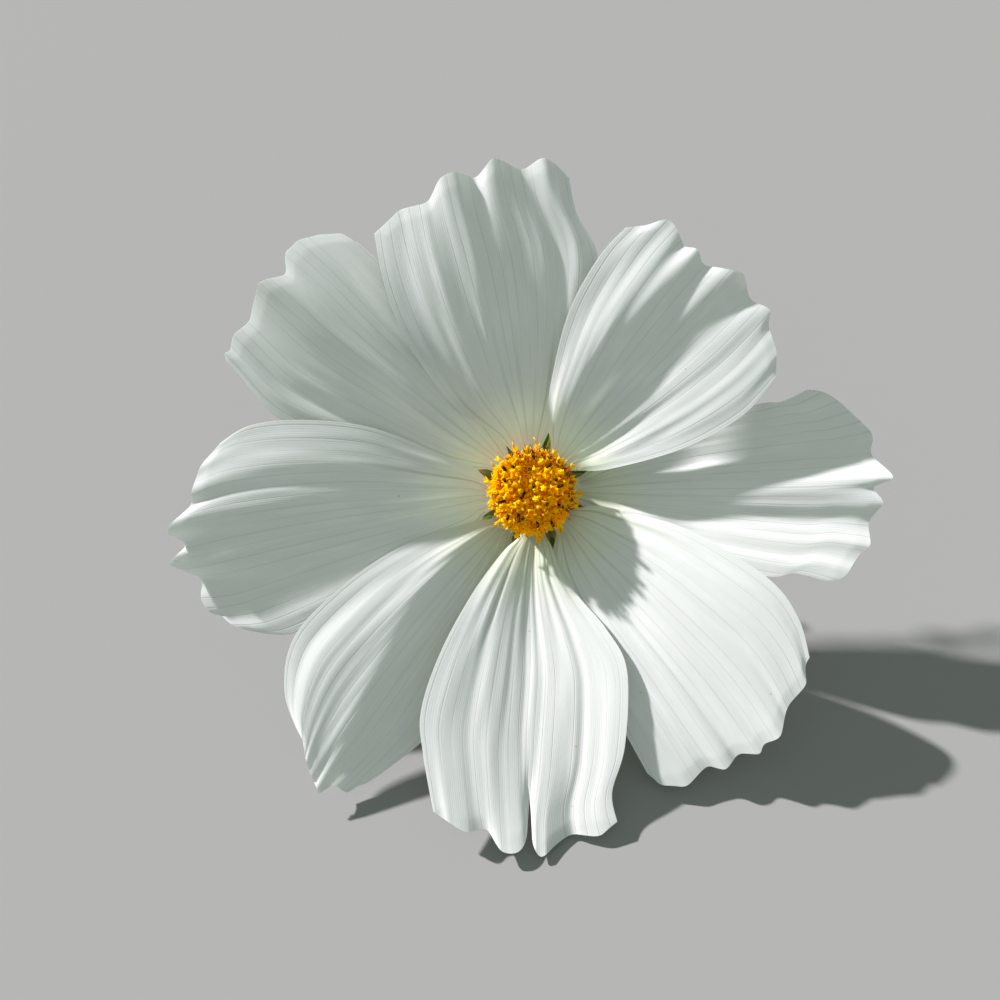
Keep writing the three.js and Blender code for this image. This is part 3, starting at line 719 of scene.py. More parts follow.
PETALS = (
    PetalShape(
        name="petal_n",
        azimuth=98.7,
        left=((4.2, 1.2), (6, 2.5), (7.5, 3.7), (11.5, 7.9), (19.5, 12.1), (26.5, 13.8), (33, 14.1)),
        right=((4.2, -1.2), (6, -2.4), (12, -6.5), (20, -10.3), (26.5, -11.7), (31.7, -10), (36, -9.7)),
        tip=((36, -9.7), (37.9, -8.3), (38.8, -7), (37.8, -4.3), (38.8, -2.7), (39.7, -1.3), (37.7, 1.2),
             (38.7, 3.5), (38.3, 5.3), (35.7, 7.3), (35.3, 10.7), (34, 12.6), (33, 14.1)),
        over=(-1, 1),
        curl=(-0.2, 0.2),
        lift=(-0.8, -1.6, -2.2),
        folds=((0.08, 0.2, 0.06), (0.18, -0.35, 0.04), (0.27, 0.35, 0.05), (0.4, 0.3, 0.05),
               (0.48, -0.35, 0.04), (0.57, 0.35, 0.06), (0.66, -0.25, 0.045), (0.97, -2.9, 0.2)),
    ),
    PetalShape(
        name="petal_ne",
        azimuth=50,
        left=((4.2, 1.2), (5.6, 2), (7.2, 3.8), (10.8, 6.5), (18.7, 10.4), (26, 11.9), (30.8, 11.7)),
        right=((4.2, -1.2), (5.6, -2.9), (8, -5.4), (15, -10.2), (22.2, -13.1), (28.4, -13.5)),
        tip=((28.4, -13.5), (31, -11.4), (32.9, -8.5), (34.3, -7.7), (33.8, -5), (35.5, -2.4), (34.8, -0.9),
             (33.3, 1.9), (34.3, 3.6), (33.5, 4.8), (34.7, 7.4), (34.6, 8.7), (32.7, 9.9), (30.8, 11.7)),
        over=(0.9, 1),
        curl=(0, 0.4),
        lift=(-1.2, 0.4, -1.8),
        folds=((0.14, 0.2, 0.04), (0.24, -0.25, 0.03), (0.38, -0.35, 0.05), (0.5, 0.4, 0.045),
               (0.58, -0.3, 0.04), (0.8, 0.25, 0.04), (0.94, 1.3, 0.13, -0.3), (0.04, 1.3, 0.1, -0.35)),
    ),
    PetalShape(
        name="petal_e",
        azimuth=1,
        left=((4.2, 1.2), (6, 1.9), (9, 4.4), (17, 7.5), (26.9, 9.9), (29.6, 10.1), (32.8, 11.5)),
        right=((4.2, -1.2), (6, -2), (9.5, -4.6), (18, -8), (27.3, -10.6), (31, -10.4), (34.6, -11.4)),
        tip=((34.6, -11.4), (36.6, -10.9), (38.7, -8), (39.8, -7.2), (39.7, -4.4), (41.5, -2), (40.2, -0.4),
             (42.7, 0.9), (40.1, 3.8), (40.5, 5.8), (39.3, 7.3), (36.4, 10.1), (34.6, 11.2), (32.8, 11.5)),
        over=(-1, -1.8),
        curl=(-1.3, -1.6),
        lift=(-0.6, -1.1, -0.6),
        folds=((0.13, -0.25, 0.04), (0.22, 0.3, 0.05), (0.32, -0.2, 0.03), (0.38, 0.15, 0.03),
               (0.52, -3.9, 0.32), (0.74, 0.2, 0.04)),
    ),
    PetalShape(
        name="petal_se",
        azimuth=-48,
        left=((4.2, 1.3), (5.2, 2.8), (6.2, 4.2), (8.3, 5.9), (15.6, 10.5), (25.9, 13.6), (31.8, 13.2),
              (36.3, 11)),
        right=((4.2, -1.1), (5.6, -1.4), (7, -3.2), (9.5, -5.6), (15, -8), (22, -9.5), (28.7, -11.2),
               (33.8, -12.4)),
        tip=((33.8, -12.4), (35.9, -12.1), (38, -10), (37.9, -6.6), (39.6, -5.2), (39.3, -2.8),
             (40.9, -0.9), (40.3, 0.2), (41, 2), (38.9, 5.2), (38.4, 8.5), (36.7, 10), (36.3, 11)),
        over=(-1, 1),
        curl=(0.2, 0.2),
        lift=(-0.9, -0.6, -0.5),
        folds=((0.2, -0.15, 0.04), (0.3, 0.15, 0.06), (0.4, -0.5, 0.025), (0.56, 0.2, 0.09),
               (0.72, -0.3, 0.022), (0.86, 0.15, 0.06)),
    ),
    PetalShape(
        name="petal_s",
        azimuth=-90.5,
        left=((4.2, 1.2), (5.5, 1.6), (6.8, 2.3), (9.7, 3.4), (12.8, 5.7), (16.4, 8.8), (21.1, 11.2),
              (29.9, 11), (35.4, 9.5), (38.8, 10.1)),
        right=((4.2, -1.2), (5.6, -1.8), (7.4, -3.7), (12.4, -7.3), (19.2, -10.9), (26, -13.1),
               (31, -12.8), (37.7, -11.5)),
        tip=((37.7, -11.5), (39.2, -9.2), (40.1, -7.5), (39.6, -5.4), (42.3, -3.4), (42.4, -1.6),
             (41, -0.6), (36.5, -0.2), (41.5, 0.2), (43, 1.2), (41.7, 2.7), (40.4, 4.6), (40.5, 8),
             (38.8, 10.1)),
        over=(0.75, 0.1),
        curl=(0, 0.1),
        lift=(1.5, 1.7, 1),
        folds=((0.1, 0.12, 0.06), (0.2, -0.2, 0.025), (0.28, 0.08, 0.04), (0.36, -0.12, 0.02),
               (0.41, 0.06, 0.02), (0.46, -0.12, 0.016), (0.52, 0.05, 0.02), (0.58, -0.12, 0.018),
               (0.66, 0.06, 0.03), (0.8, -0.45, 0.025), (1, 0.3, 0.13), (-0.2, 3.4, 0.55)),
    ),
    PetalShape(
        name="petal_sw",
        azimuth=-127,
        left=((4.2, 1), (6, 1.3), (8, 2.6), (14, 4.8), (22, 6.4), (28.5, 7.4), (31.7, 7.3), (36.6, 6),
              (39.5, 5)),
        right=((4.2, -1.2), (5.5, -1.9), (7.8, -4), (13.6, -8), (20.5, -10.8), (28.5, -12.3),
               (33, -11.6), (36.9, -9), (39, -6)),
        tip=((39, -6), (39.9, -4.1), (41.6, -2.3), (42.7, -0.7), (43.7, 1.2), (42, 2), (41.8, 3.8),
             (40.4, 4.4), (39.5, 5)),
        over=(1, -1),
        curl=(0.3, -0.5),
        lift=(-0.7, -0.4, -0.3),
        folds=((0, -1.1, 0.16), (0.15, 1.2, 0.12, 0.48), (0.56, 0.2, 0.03), (0.62, -0.3, 0.02),
               (0.68, 0.3, 0.03), (0.75, -0.3, 0.02), (0.82, 0.35, 0.04), (0.9, -0.25, 0.03)),
    ),
    PetalShape(
        name="petal_w",
        azimuth=189,
        left=((4.2, 1.2), (6.2, 1.9), (8, 3.6), (15, 6.8), (22, 9.4), (30.3, 12.1), (34.2, 11.7)),
        right=((4.2, -1.2), (5.5, -2.6), (6.8, -4), (10.5, -6.2), (18, -10.5), (25.8, -12.6),
               (31.9, -12.9), (35.7, -11.4)),
        tip=((35.7, -11.4), (38.4, -9.1), (39.9, -6.3), (40.2, -4.7), (43.1, -2.7), (43.4, -1.7),
             (41.5, -0.3), (43.9, 1.8), (41.5, 3.4), (40.4, 4.3), (41, 6.3), (40.2, 8.2), (38.9, 8.8),
             (38, 9.9), (36.3, 10.9), (34.2, 11.7)),
        over=(1, -1),
        curl=(0.1, 0.4),
        lift=(-0.8, -0.8, -2.2),
        folds=((-0.2, -1.7, 0.2, 0.2), (0.2, 0.2, 0.04), (0.28, -0.4, 0.025), (0.35, 0.25, 0.04),
               (0.43, -0.25, 0.022), (0.5, 0.3, 0.035), (0.57, -0.35, 0.022), (0.66, 0.2, 0.04),
               (0.85, 1.5, 0.25, 0.6)),
    ),
    PetalShape(
        name="petal_nw",
        azimuth=143.5,
        left=((4.2, 1), (6, 1.2), (8, 3), (11.5, 5.4), (20, 8.4), (27, 10.7), (31, 11), (36, 9.8),
              (38.3, 9.3)),
        right=((4.2, -1.2), (6, -2.5), (8, -3.6), (13.5, -5.7), (22, -8.4), (28.5, -10.6), (34, -11.3)),
        tip=((34, -11.3), (36.5, -11), (38.5, -9.4), (40.2, -7.3), (40.5, -5.2), (38.9, -3.1),
             (40.8, -0.5), (39.8, 2.2), (39.1, 3.8), (39.6, 6.5), (38.8, 8), (39.2, 8.7), (38.3, 9.3)),
        over=(-1, -1),
        curl=(-0.5, -0.2),
        lift=(-2.2, -1.2, -1.4),
        folds=((0.1, 0.25, 0.05), (0.2, -0.35, 0.03), (0.33, 0.3, 0.05), (0.475, 1.4, 0.05),
               (0.62, -0.5, 0.07), (0.78, 0.3, 0.04), (0.86, -0.35, 0.03), (0.93, 0.2, 0.03)),
    ),
)


def bowl_height(radius: np.ndarray) -> np.ndarray:
    """Height of the petals' common shallow bowl at a distance from the axis, level up to the claws."""
    return BOWL_RISE * (1 - np.exp(-np.maximum(radius - BOWL_START, 0) / BOWL_REACH))


@dataclass
class Corolla:
    """The eight ray petals: shallow-bowled, pleated lengthwise and toothed at the tip.

    A reach, rise or fall is the stretch of radius over which something sets in or fades. Cells
    are how many pleats lie across and how often each changes on its way out. A fade is a power:
    the higher it is, the nearer to the tip something stays.
    """

    head: HeadFrame
    thickness: float = 0.3
    edge_thickness: float = 0.12
    edge_shares: Pair = (0.06, 0.04)
    seat: float = -0.2
    layer_step: float = 1.15
    layer_reach: Pair = (4.4, 5.9)
    curl_reach: Pair = (7.0, 20.0)
    fold_reach: Pair = (4.2, 11.0)
    lift_reach: Pair = (10.0, 42.0)
    margin: float = 0.22
    crossing: float = 0.55
    coarse_columns: int = 14
    fine_steps: int = 8
    margin_steps: int = 24
    rows: int = 120
    tip_smoothing: int = 6
    tip_slant: float = 0.4
    straighten: float = 2.4
    fold_share: float = 0.36
    pleat_height: float = 0.09
    pleat_cells: tuple[int, int] = (13, 3)
    ripple_height: float = 0.04
    ripple_cells: tuple[int, int] = (27, 4)
    claw_pleat_height: float = 0.32
    claw_pleat_cells: tuple[int, int] = (9, 2)
    pleat_margin: float = 0.08
    pleat_reach: Pair = (5.0, 16.0)
    claw_pleat_rise: Pair = (4.6, 7.0)
    claw_pleat_fall: Pair = (9.0, 18.0)
    tooth_rounding: int = 8
    tooth_fade: float = 5.0
    tooth_curl: float = 0.35
    tooth_curl_fade: float = 10.0
    tooth_limits: Pair = (-1.0, 1.5)
    sunward_azimuths: Pair = (40.0, 200.0)
    first_seed: int = 11

    def height(
        self, petal: PetalShape, seed: int, u: np.ndarray, v: np.ndarray, r: np.ndarray
    ) -> np.ndarray:
        """Height of a petal's middle surface.

        Args:
            petal: The petal.
            seed: Fixes its small pleats.
            u: Places across, 0 at the right edge and 1 at the left.
            v: Places along, 0 at the claw and 1 at the tip.
            r: Distances from the axis.

        Returns:
            The heights above the claws' ring.
        """
        right = 1 - smoothstep(self.margin, self.crossing, u)
        left = smoothstep(1 - self.crossing, 1 - self.margin, u)
        layer = (right * petal.over[0] + left * petal.over[1]) * self.layer_step / 2
        curl = right * petal.curl[0] + left * petal.curl[1]
        lift = right * petal.lift[0] + (1 - right - left) * petal.lift[1] + left * petal.lift[2]
        fold = np.zeros_like(u)
        for place, high, width, *moves in petal.folds:
            fold += self.fold_share * high * np.exp(-(((u - place - sum(moves) * v) / width) ** 2))
        inside = smoothstep(0.0, self.pleat_margin, u) * smoothstep(0.0, self.pleat_margin, 1 - u)
        pleats = self.pleat_height * drift(seed, self.pleat_cells, u, v)
        pleats += self.ripple_height * drift(seed + 50, self.ripple_cells, u, v)
        claw_pleats = self.claw_pleat_height * (1 + drift(seed + 90, self.claw_pleat_cells, u, v)) / 2
        near_claw = smoothstep(*self.claw_pleat_rise, r) - smoothstep(*self.claw_pleat_fall, r)
        low, high = self.lift_reach
        return (
            self.seat
            + bowl_height(r)
            + layer * smoothstep(*self.layer_reach, r)
            + curl * smoothstep(*self.curl_reach, r)
            + fold * smoothstep(*self.fold_reach, r)
            + pleats * inside * smoothstep(*self.pleat_reach, r)
            + claw_pleats * inside * near_claw
            + lift * np.maximum((r - low) / (high - low), 0) ** 2
        )

    def tip_curves(self, petal: PetalShape) -> tuple[np.ndarray, np.ndarray, np.ndarray]:
        """The toothed tip and the same tip evened out.

        Args:
            petal: The petal.

        Returns:
            The tip's points, the evened tip's points, and each one's place across.
        """
        corners = np.array(petal.tip, dtype=float)
        spans = np.linalg.norm(np.diff(corners, axis=0), axis=1)
        coarse = [corners[:1]]
        for start, end, span in zip(corners, corners[1:], spans):
            parts = math.ceil(span * self.coarse_columns / spans.sum())
            coarse.append(start + (end - start) * (np.arange(1, parts + 1) / parts)[:, None])
        tip = np.vstack(coarse)
        crown = spline(evened(tip, self.tip_smoothing), self.fine_steps)
        tip = evened(spline(tip, self.fine_steps), self.tooth_rounding)
        step = np.diff(tip, axis=0)
        reach = np.concatenate([[0.0], np.cumsum(np.hypot(self.tip_slant * step[:, 0], step[:, 1]))])
        return tip, crown, reach / reach[-1]

    def shell(self, petal: PetalShape, seed: int) -> Shell:
        """One petal's solid, where it stands.

        Args:
            petal: The petal.
            seed: Fixes its small pleats.

        Returns:
            Its shell.
        """
        tip, crown, across = self.tip_curves(petal)
        share = np.linspace(0.0, 1.0, self.rows + 1)
        right, left = (evenly(spline(side, self.margin_steps), share) for side in (petal.right, petal.left))
        u, v = (x[..., None] for x in np.meshgrid(across, share))
        claws = (1 - u) * right[0] + u * left[0]
        flat = (1 - v) * claws + v * crown + (tip - crown) * v**self.tooth_fade
        for side, near in ((right, 1 - u), (left, u)):
            bulge = side - side[0] - share[:, None] * (side[-1] - side[0])
            flat += near**self.straighten * bulge[:, None]
        u, v = u[..., 0], v[..., 0]
        radius = np.hypot(flat[..., 0], flat[..., 1])
        tooth = np.clip((tip - crown)[:, 0], *self.tooth_limits) * self.tooth_curl
        height = self.height(petal, seed, u, v, radius) + tooth * v**self.tooth_curl_fade
        turn = math.radians(petal.azimuth)
        x = flat[..., 0] * math.cos(turn) - flat[..., 1] * math.sin(turn)
        y = flat[..., 0] * math.sin(turn) + flat[..., 1] * math.cos(turn)
        edge = np.minimum(np.minimum(u, 1 - u) / self.edge_shares[0], (1 - v) / self.edge_shares[1])
        thickness = self.edge_thickness + (self.thickness - self.edge_thickness) * np.clip(edge, 0, 1)
        grid = np.stack([x, y, height], -1).reshape(-1, 3)
        places = np.stack([u, v], -1).reshape(-1, 2)
        return self.head.place(plate(grid, len(across), thickness.ravel(), places))

    def build(self, sunward: bpy.types.Material, leeward: bpy.types.Material) -> None:
        """Make the eight petals.

        Args:
            sunward: The material of the petals towards the sun.
            leeward: The material of the others.
        """
        start, end = self.sunward_azimuths
        for seed, petal in enumerate(PETALS, self.first_seed):
            finish = sunward if start < petal.azimuth < end else leeward
            piece = make_object(petal.name.replace("petal", "ray_petal"), self.shell(petal, seed), finish)
            settle(piece, petal.name)


# ---------------------------------------------------------------- disc


@dataclass(frozen=True)
class Scatter:
    """Which places of the disc's spiral a kind of floret takes, and how it stands there.

    Shares are of the disc's radius, draw is a band of chance from 0 to 1, and spread is to each
    side of an azimuth. A copy is raised over the dome, sized, and tipped at most so many degrees.
    """

    shares: Pair
    draw: Pair = (0.0, 1.0)
    azimuth: float = 0.0
    spread: float = 180.0
    places: int = 92
    raised: float = -0.6
    size: Pair = (1.0, 1.0)
    tip: float = 6.0
    seed: int = 3


@dataclass
class Disc:
    """The yellow disc: a dome covered with small tubular florets on a golden-angle spiral.

    Its axis is shifted a little from the petals'. The florets lean outwards, by a power of their
    distance from it.
    """

    head: HeadFrame
    shift: Pair = (-0.2, -0.1)
    base_radius: float = 3.8
    radius: float = 4.9
    base: float = -0.35
    shoulder: float = 3.0
    top: float = 4.7
    skin: float = 0.1
    ring_share: float = 0.97
    floret_root: float = 0.8
    floret_height: float = 1.2
    lean: float = 62.0
    lean_power: float = 1.6
    lobes: int = 5
    lobe_sides: int = 4
    thread_start: float = 0.5
    thread_steps: int = 8
    thread_taper: float = 0.05
    dome_sides: int = 48

    @property
    def place(self) -> Matrix:
        """The move from the disc's own axis to the row frame, in millimetres."""
        return self.head.matrix @ Matrix.Translation((*self.shift, 0.0))

    @property
    def angles(self) -> np.ndarray:
        """Angles round a floret, so many to a lobe."""
        sides = self.lobes * self.lobe_sides
        return np.arange(sides) * 2 * math.pi / sides

    def floret(self, reach: float, length: float) -> Shell:
        """An open floret: a tube that widens to a mouth with five pointed lobes that bend outwards.

        Args:
            reach: How far the lobes' tips spread beyond the mouth.
            length: How far they rise over it.

        Returns:
            The floret's shell, standing on the origin.
        """
        whole = np.tile([1.0, 0.8, 0.0, 0.8], self.lobes)
        pointed = np.tile([1.0, 0.34, 0.0, 0.34], self.lobes)
        mouth = self.floret_root + self.floret_height - length
        # Up the outside, over the lobes and down the throat: height, radius, share of a lobe, its form.
        levels = (
            (0.0, 0.2, 0.0, pointed), (mouth - 0.5, 0.22, 0.0, pointed), (mouth - 0.2, 0.3, 0.0, pointed),
            (mouth, 0.37, 0.0, pointed), (mouth, 0.39, 0.55, whole), (mouth, 0.4, 1.0, pointed),
            (mouth - 0.04, 0.37, 0.98, pointed), (mouth - 0.04, 0.35, 0.5, whole),
            (mouth - 0.05, 0.3, 0.0, pointed), (mouth - 0.3, 0.22, 0.0, pointed),
        )
        rings = []
        for height, radius, share, lobe in levels:
            spread, z = radius + reach * share**1.4 * lobe, height + length * share**0.8 * lobe
            rings.append(np.stack([spread * np.cos(self.angles), spread * np.sin(self.angles), z], 1))
        return ringed(rings, (0.0, 0.25, 0.45, 0.6, 0.85, 1.0, 0.95, 0.75, 0.5, 0.2))

    def bud(self) -> Shell:
        """A closed floret: five lobes folded together over a narrow tube, to a ribbed point.

        Returns:
            The bud's shell, standing on the origin.
        """
        # From the root up: height, radius and how deep the ribs are.
        profile = (
            (0.0, 0.2, 0.0), (1.0, 0.22, 0.05), (1.3, 0.34, 0.12), (1.55, 0.38, 0.2), (1.8, 0.31, 0.3),
            (1.98, 0.2, 0.4), (2.12, 0.09, 0.4), (2.16, 0.03, 0.0),
        )
        rings = []
        for z, radius, rib in profile:
            spread, turn = radius * (1 + rib * np.cos(self.lobes * self.angles)), self.angles + z
            rings.append(np.stack([spread * np.cos(turn), spread * np.sin(turn), np.full(len(turn), z)], 1))
        return ringed(rings, (0.0, 0.2, 0.45, 0.6, 0.75, 0.9, 1.0, 1.0))

    def lobe(self, length: float, width: float, bend: float) -> Shell:
        """A single pointed lobe that stands up from the origin and bends over towards +X.

        Args:
            length: Its length.
            width: Its greatest width.
            bend: How far it bends over, in degrees.

        Returns:
            The lobe's shell.
        """
        rings, spot, step, keel = [], np.zeros(3), np.array([0.0, 0.0, length * 0.22]), 0.1 * width
        # From root to tip: share of the bend and share of the width.
        for share, half in ((0.0, 0.45), (0.25, 0.8), (0.5, 1.0), (0.72, 0.75), (0.9, 0.35), (1.0, 0.06)):
            turn = np.array(Matrix.Rotation(math.radians(bend * share), 3, "Y"))
            across, deep = width / 2 * half, keel + 0.14 * width * half
            ring = np.array([[deep, 0, 0], [-keel, across, 0], [-deep, 0, 0], [-keel, -across, 0]])
            rings.append(ring @ turn.T + spot)
            spot = spot + turn @ step
        return ringed(rings, (0.0, 0.25, 0.5, 0.75, 0.9, 1.0))

    def anther(self) -> Shell:
        """An anther tube: a short dark rod, a little wider at its notched mouth."""
        profile = ((1.2, 0.17), (1.9, 0.2), (2.5, 0.23), (2.66, 0.19), (2.62, 0.07))
        return ringed([circle(radius, z, 8) for z, radius in profile])

    def thread(self, length: float, thick: float, droop: float) -> Shell:
        """A fine thread that leaves a floret's mouth and bends over to one side.

        Args:
            length: Its length beyond the mouth.
            thick: Its radius at the root.
            droop: How far it bends over, in degrees.

        Returns:
            The thread's shell.
        """
        rings, spot = [], np.array([0.0, 0.0, self.floret_root + self.thread_start])
        for step in range(self.thread_steps + 1):
            bend = math.radians(droop * step / self.thread_steps)
            turn = np.array(Matrix.Rotation(bend, 3, "Y"))
            rings.append(circle(thick * (1 - self.thread_taper * step), 0.0, 4) @ turn.T + spot)
            spot = spot + np.array([math.sin(bend), 0.0, math.cos(bend)]) * length / self.thread_steps
        return ringed(rings)

    def dome(self) -> Shell:
        """The dome under the florets.

        Returns:
            Its shell, round its own axis.
        """
        radius, shoulder, sides = self.radius - self.skin, self.shoulder - self.skin, self.dome_sides
        rings = [circle(self.base_radius, self.base, sides), circle(radius, shoulder, sides)]
        for angle in np.radians(range(10, 90, 10)):
            share = radius * math.cos(angle) / self.radius
            height = shoulder + (self.top - self.shoulder) * math.sqrt(1 - share**2)
            rings.append(circle(radius * math.cos(angle), height, sides))
        return ringed(rings)

    @cached_property
    def spiral(self) -> bpy.types.NodeTree:
        """The geometry tree that sets copies of a shape on the disc's spiral.

        Returns:
            The tree. Its inputs are in metres and radians.
        """
        numbers = ("Ring Radius", "Dome Radius", "Shoulder", "Top", "Raised", "Lean", "Share Low",
                   "Share High", "Draw Low", "Draw High", "Azimuth", "Spread", "Size Low", "Size High",
                   "Tip")
        tree = geometry_tree("florets on a spiral", {
            "Geometry": "Geometry", "Shape": "Object", "Count": "Int", **dict.fromkeys(numbers, "Float"),
            "Seed": "Int", "Material": "Material",
        })
        node = partial(add, tree)
        given = node("NodeGroupInput").outputs
        known = {socket.name: socket for socket in given if socket.name}
        known["index"] = node("GeometryNodeInputIndex")
        known["draw"] = node("FunctionNodeRandomValue", {"Seed": given["Seed"]})
        for result, operation, *values in (
            # Where a copy stands: share of the radius by its square root, turned by the golden angle.
            ("middle", "ADD", "index", 0.5),
            ("place", "DIVIDE", "middle", "Count"),
            ("share", "SQRT", "place"),
            ("radius", "MULTIPLY", "share", "Ring Radius"),
            ("angle", "MULTIPLY", "index", GOLDEN_ANGLE),
            ("east", "COSINE", "angle"),
            ("north", "SINE", "angle"),
            ("x", "MULTIPLY", "radius", "east"),
            ("y", "MULTIPLY", "radius", "north"),
            ("slope", "DIVIDE", "radius", "Dome Radius"),
            ("steep", "MULTIPLY", "slope", "slope"),
            ("flat", "SUBTRACT", 1.0, "steep"),
            ("arch", "SQRT", "flat"),
            ("span", "SUBTRACT", "Top", "Shoulder"),
            ("surface", "MULTIPLY_ADD", "span", "arch", "Shoulder"),
            ("height", "ADD", "surface", "Raised"),
            # Which copies are kept: a band of the radius, a sector and a draw, each 0 or 1.
            ("turned", "SUBTRACT", "angle", "Azimuth"),
            ("facing", "COSINE", "turned"),
            ("beyond", "GREATER_THAN", "share", "Share Low"),
            ("within", "LESS_THAN", "share", "Share High"),
            ("drawn", "GREATER_THAN", "draw", "Draw Low"),
            ("not passed", "LESS_THAN", "draw", "Draw High"),
            ("faced", "GREATER_THAN", "facing", "Spread"),
            ("band", "MULTIPLY", "beyond", "within"),
            ("luck", "MULTIPLY", "drawn", "not passed"),
            ("both", "MULTIPLY", "band", "luck"),
            ("kept", "MULTIPLY", "both", "faced"),
            # How each stands: leaning outwards towards the rim, tipped and turned a little by chance.
            ("rim", "POWER", "share", self.lean_power),
            ("lean", "MULTIPLY", "Lean", "rim"),
            ("tip back", "MULTIPLY", "Tip", -1.0),
            ("size seed", "ADD", "Seed", 1.0),
            ("tip seed", "ADD", "Seed", 2.0),
            ("tint seed", "ADD", "Seed", 3.0),
        ):
            inputs = {i: known[value] if isinstance(value, str) else value for i, value in enumerate(values)}
            known[result] = node("ShaderNodeMath", inputs, operation=operation)
        position = node("ShaderNodeCombineXYZ", {0: known["x"], 1: known["y"], 2: known["height"]})
        points = node("GeometryNodePoints", {"Count": given["Count"], "Position": position})
        size = {2: given["Size Low"], 3: given["Size High"], "Seed": known["size seed"]}
        placed = node("GeometryNodeInstanceOnPoints", {
            "Points": points, "Selection": known["kept"],
            "Instance": node("GeometryNodeObjectInfo", {0: given["Shape"]}).outputs["Geometry"],
            "Rotation": node("ShaderNodeCombineXYZ", {1: known["lean"], 2: known["angle"]}),
            "Scale": node("FunctionNodeRandomValue", size),
        })
        low = node("ShaderNodeCombineXYZ", {0: known["tip back"], 1: known["tip back"]})
        high = node("ShaderNodeCombineXYZ", {0: given["Tip"], 1: given["Tip"], 2: 2 * math.pi})
        wobble = node("FunctionNodeRandomValue", {0: low, 1: high, "Seed": known["tip seed"]},
                      data_type="FLOAT_VECTOR")
        tipped = node("GeometryNodeRotateInstances",
                      {"Instances": placed, "Rotation": wobble, "Local Space": True})
        tint = node("FunctionNodeRandomValue", {"Seed": known["tint seed"]})
        tinted = node("GeometryNodeStoreNamedAttribute",
                      {"Geometry": tipped, "Name": "tint", "Value": tint}, domain="INSTANCE")
        end_tree(tree, tinted, given["Material"])
        return tree

    def scattered(
        self, name: str, shape: Shell, rule: Scatter, finish: bpy.types.Material
    ) -> bpy.types.Object:
        """Set copies of a shape over the disc as one plain mesh.

        Args:
            name: The piece's name.
            shape: What is copied, standing on the origin.
            rule: Which places it takes and how it stands.
            finish: Its material.

        Returns:
            The piece, where it stands.
        """
        pattern = make_object(f"{name} pattern", shape, finish, 40.0)
        carrier = linked(f"{name} carrier", bpy.data.meshes.new(name))
        piece = from_tree(name, carrier, self.spiral, {
            "Shape": pattern, "Count": rule.places, "Ring Radius": self.radius * self.ring_share * MM,
            "Dome Radius": self.radius * MM, "Shoulder": self.shoulder * MM, "Top": self.top * MM,
            "Raised": rule.raised * MM, "Lean": math.radians(self.lean),
            "Share Low": rule.shares[0], "Share High": rule.shares[1],
            "Draw Low": rule.draw[0], "Draw High": rule.draw[1],
            "Azimuth": math.radians(rule.azimuth), "Spread": math.cos(math.radians(rule.spread)) - 1e-4,
            "Size Low": rule.size[0], "Size High": rule.size[1], "Tip": math.radians(rule.tip),
            "Seed": rule.seed, "Material": finish,
        })
        bpy.data.objects.remove(pattern)
        move = self.place
        move.translation *= MM
        piece.data.transform(move)
        return piece

    def build(self, finishes: dict[SoftTissue, bpy.types.Material]) -> None:
        """Make the disc's pieces.

        Args:
            finishes: The finishes' materials.
        """
        flame, wisp = self.lobe(0.85, 0.36, 35.0), self.lobe(0.95, 0.2, 50.0)
        kinds = (
            ("disc_core_buds", self.bud(), BUD, Scatter((0.0, 0.36), size=(0.7, 1.0), tip=14)),
            ("disc_buds", self.bud(), BUD, Scatter((0.36, 0.8), (0.0, 0.16), size=(0.8, 1.0), tip=18)),
            ("disc_open_florets", self.floret(0.34, 0.34), FLORET,
             Scatter((0.36, 0.8), (0.16, 1.0), tip=20)),
            ("disc_rim_florets", self.floret(0.28, 0.42), FLORET,
             Scatter((0.8, 1.1), raised=-0.85, size=(0.65, 0.85), tip=18)),
            ("disc_rim_lobes", flame, FLORET,
             Scatter((0.8, 1.1), places=1300, raised=-0.3, size=(0.6, 1.05), tip=26, seed=41)),
            ("disc_lobes", flame, FLORET,
             Scatter((0.0, 0.9), places=800, raised=-0.1, size=(0.6, 1.05), tip=46, seed=31)),
            ("disc_anthers", self.anther(), ANTHER,
             Scatter((0.5, 0.7), places=70, size=(0.85, 1.0), tip=30, seed=8)),
            ("disc_inner_anthers", self.anther(), ANTHER,
             Scatter((0.05, 0.17), places=70, size=(0.85, 1.0), tip=40, seed=9)),
            ("disc_styles", self.thread(0.8, 0.09, 80.0), STYLE, Scatter((0.36, 1.1), (0.2, 0.62), tip=20)),
            ("disc_bristles", self.thread(1.4, 0.04, 45.0), STYLE,
             Scatter((0.9, 1.1), (0.0, 0.45), places=300, size=(0.7, 1.0), tip=14, seed=13)),
            ("disc_withered_florets", wisp, WITHERED,
             Scatter((0.88, 1.1), (0.0, 0.9), 50.0, 80.0, 1800, 0.55, (0.6, 1.0), 45.0, 21)),
        )
        for name, shape, tissue, rule in kinds:
            settle(self.scattered(name, shape, rule, finishes[tissue]), "disc_florets")
        dome = make_object("disc_dome", self.dome().moved(self.place), finishes[DOME])
        settle(dome, "disc_florets")


# ---------------------------------------------------------------- bracts and receptacle


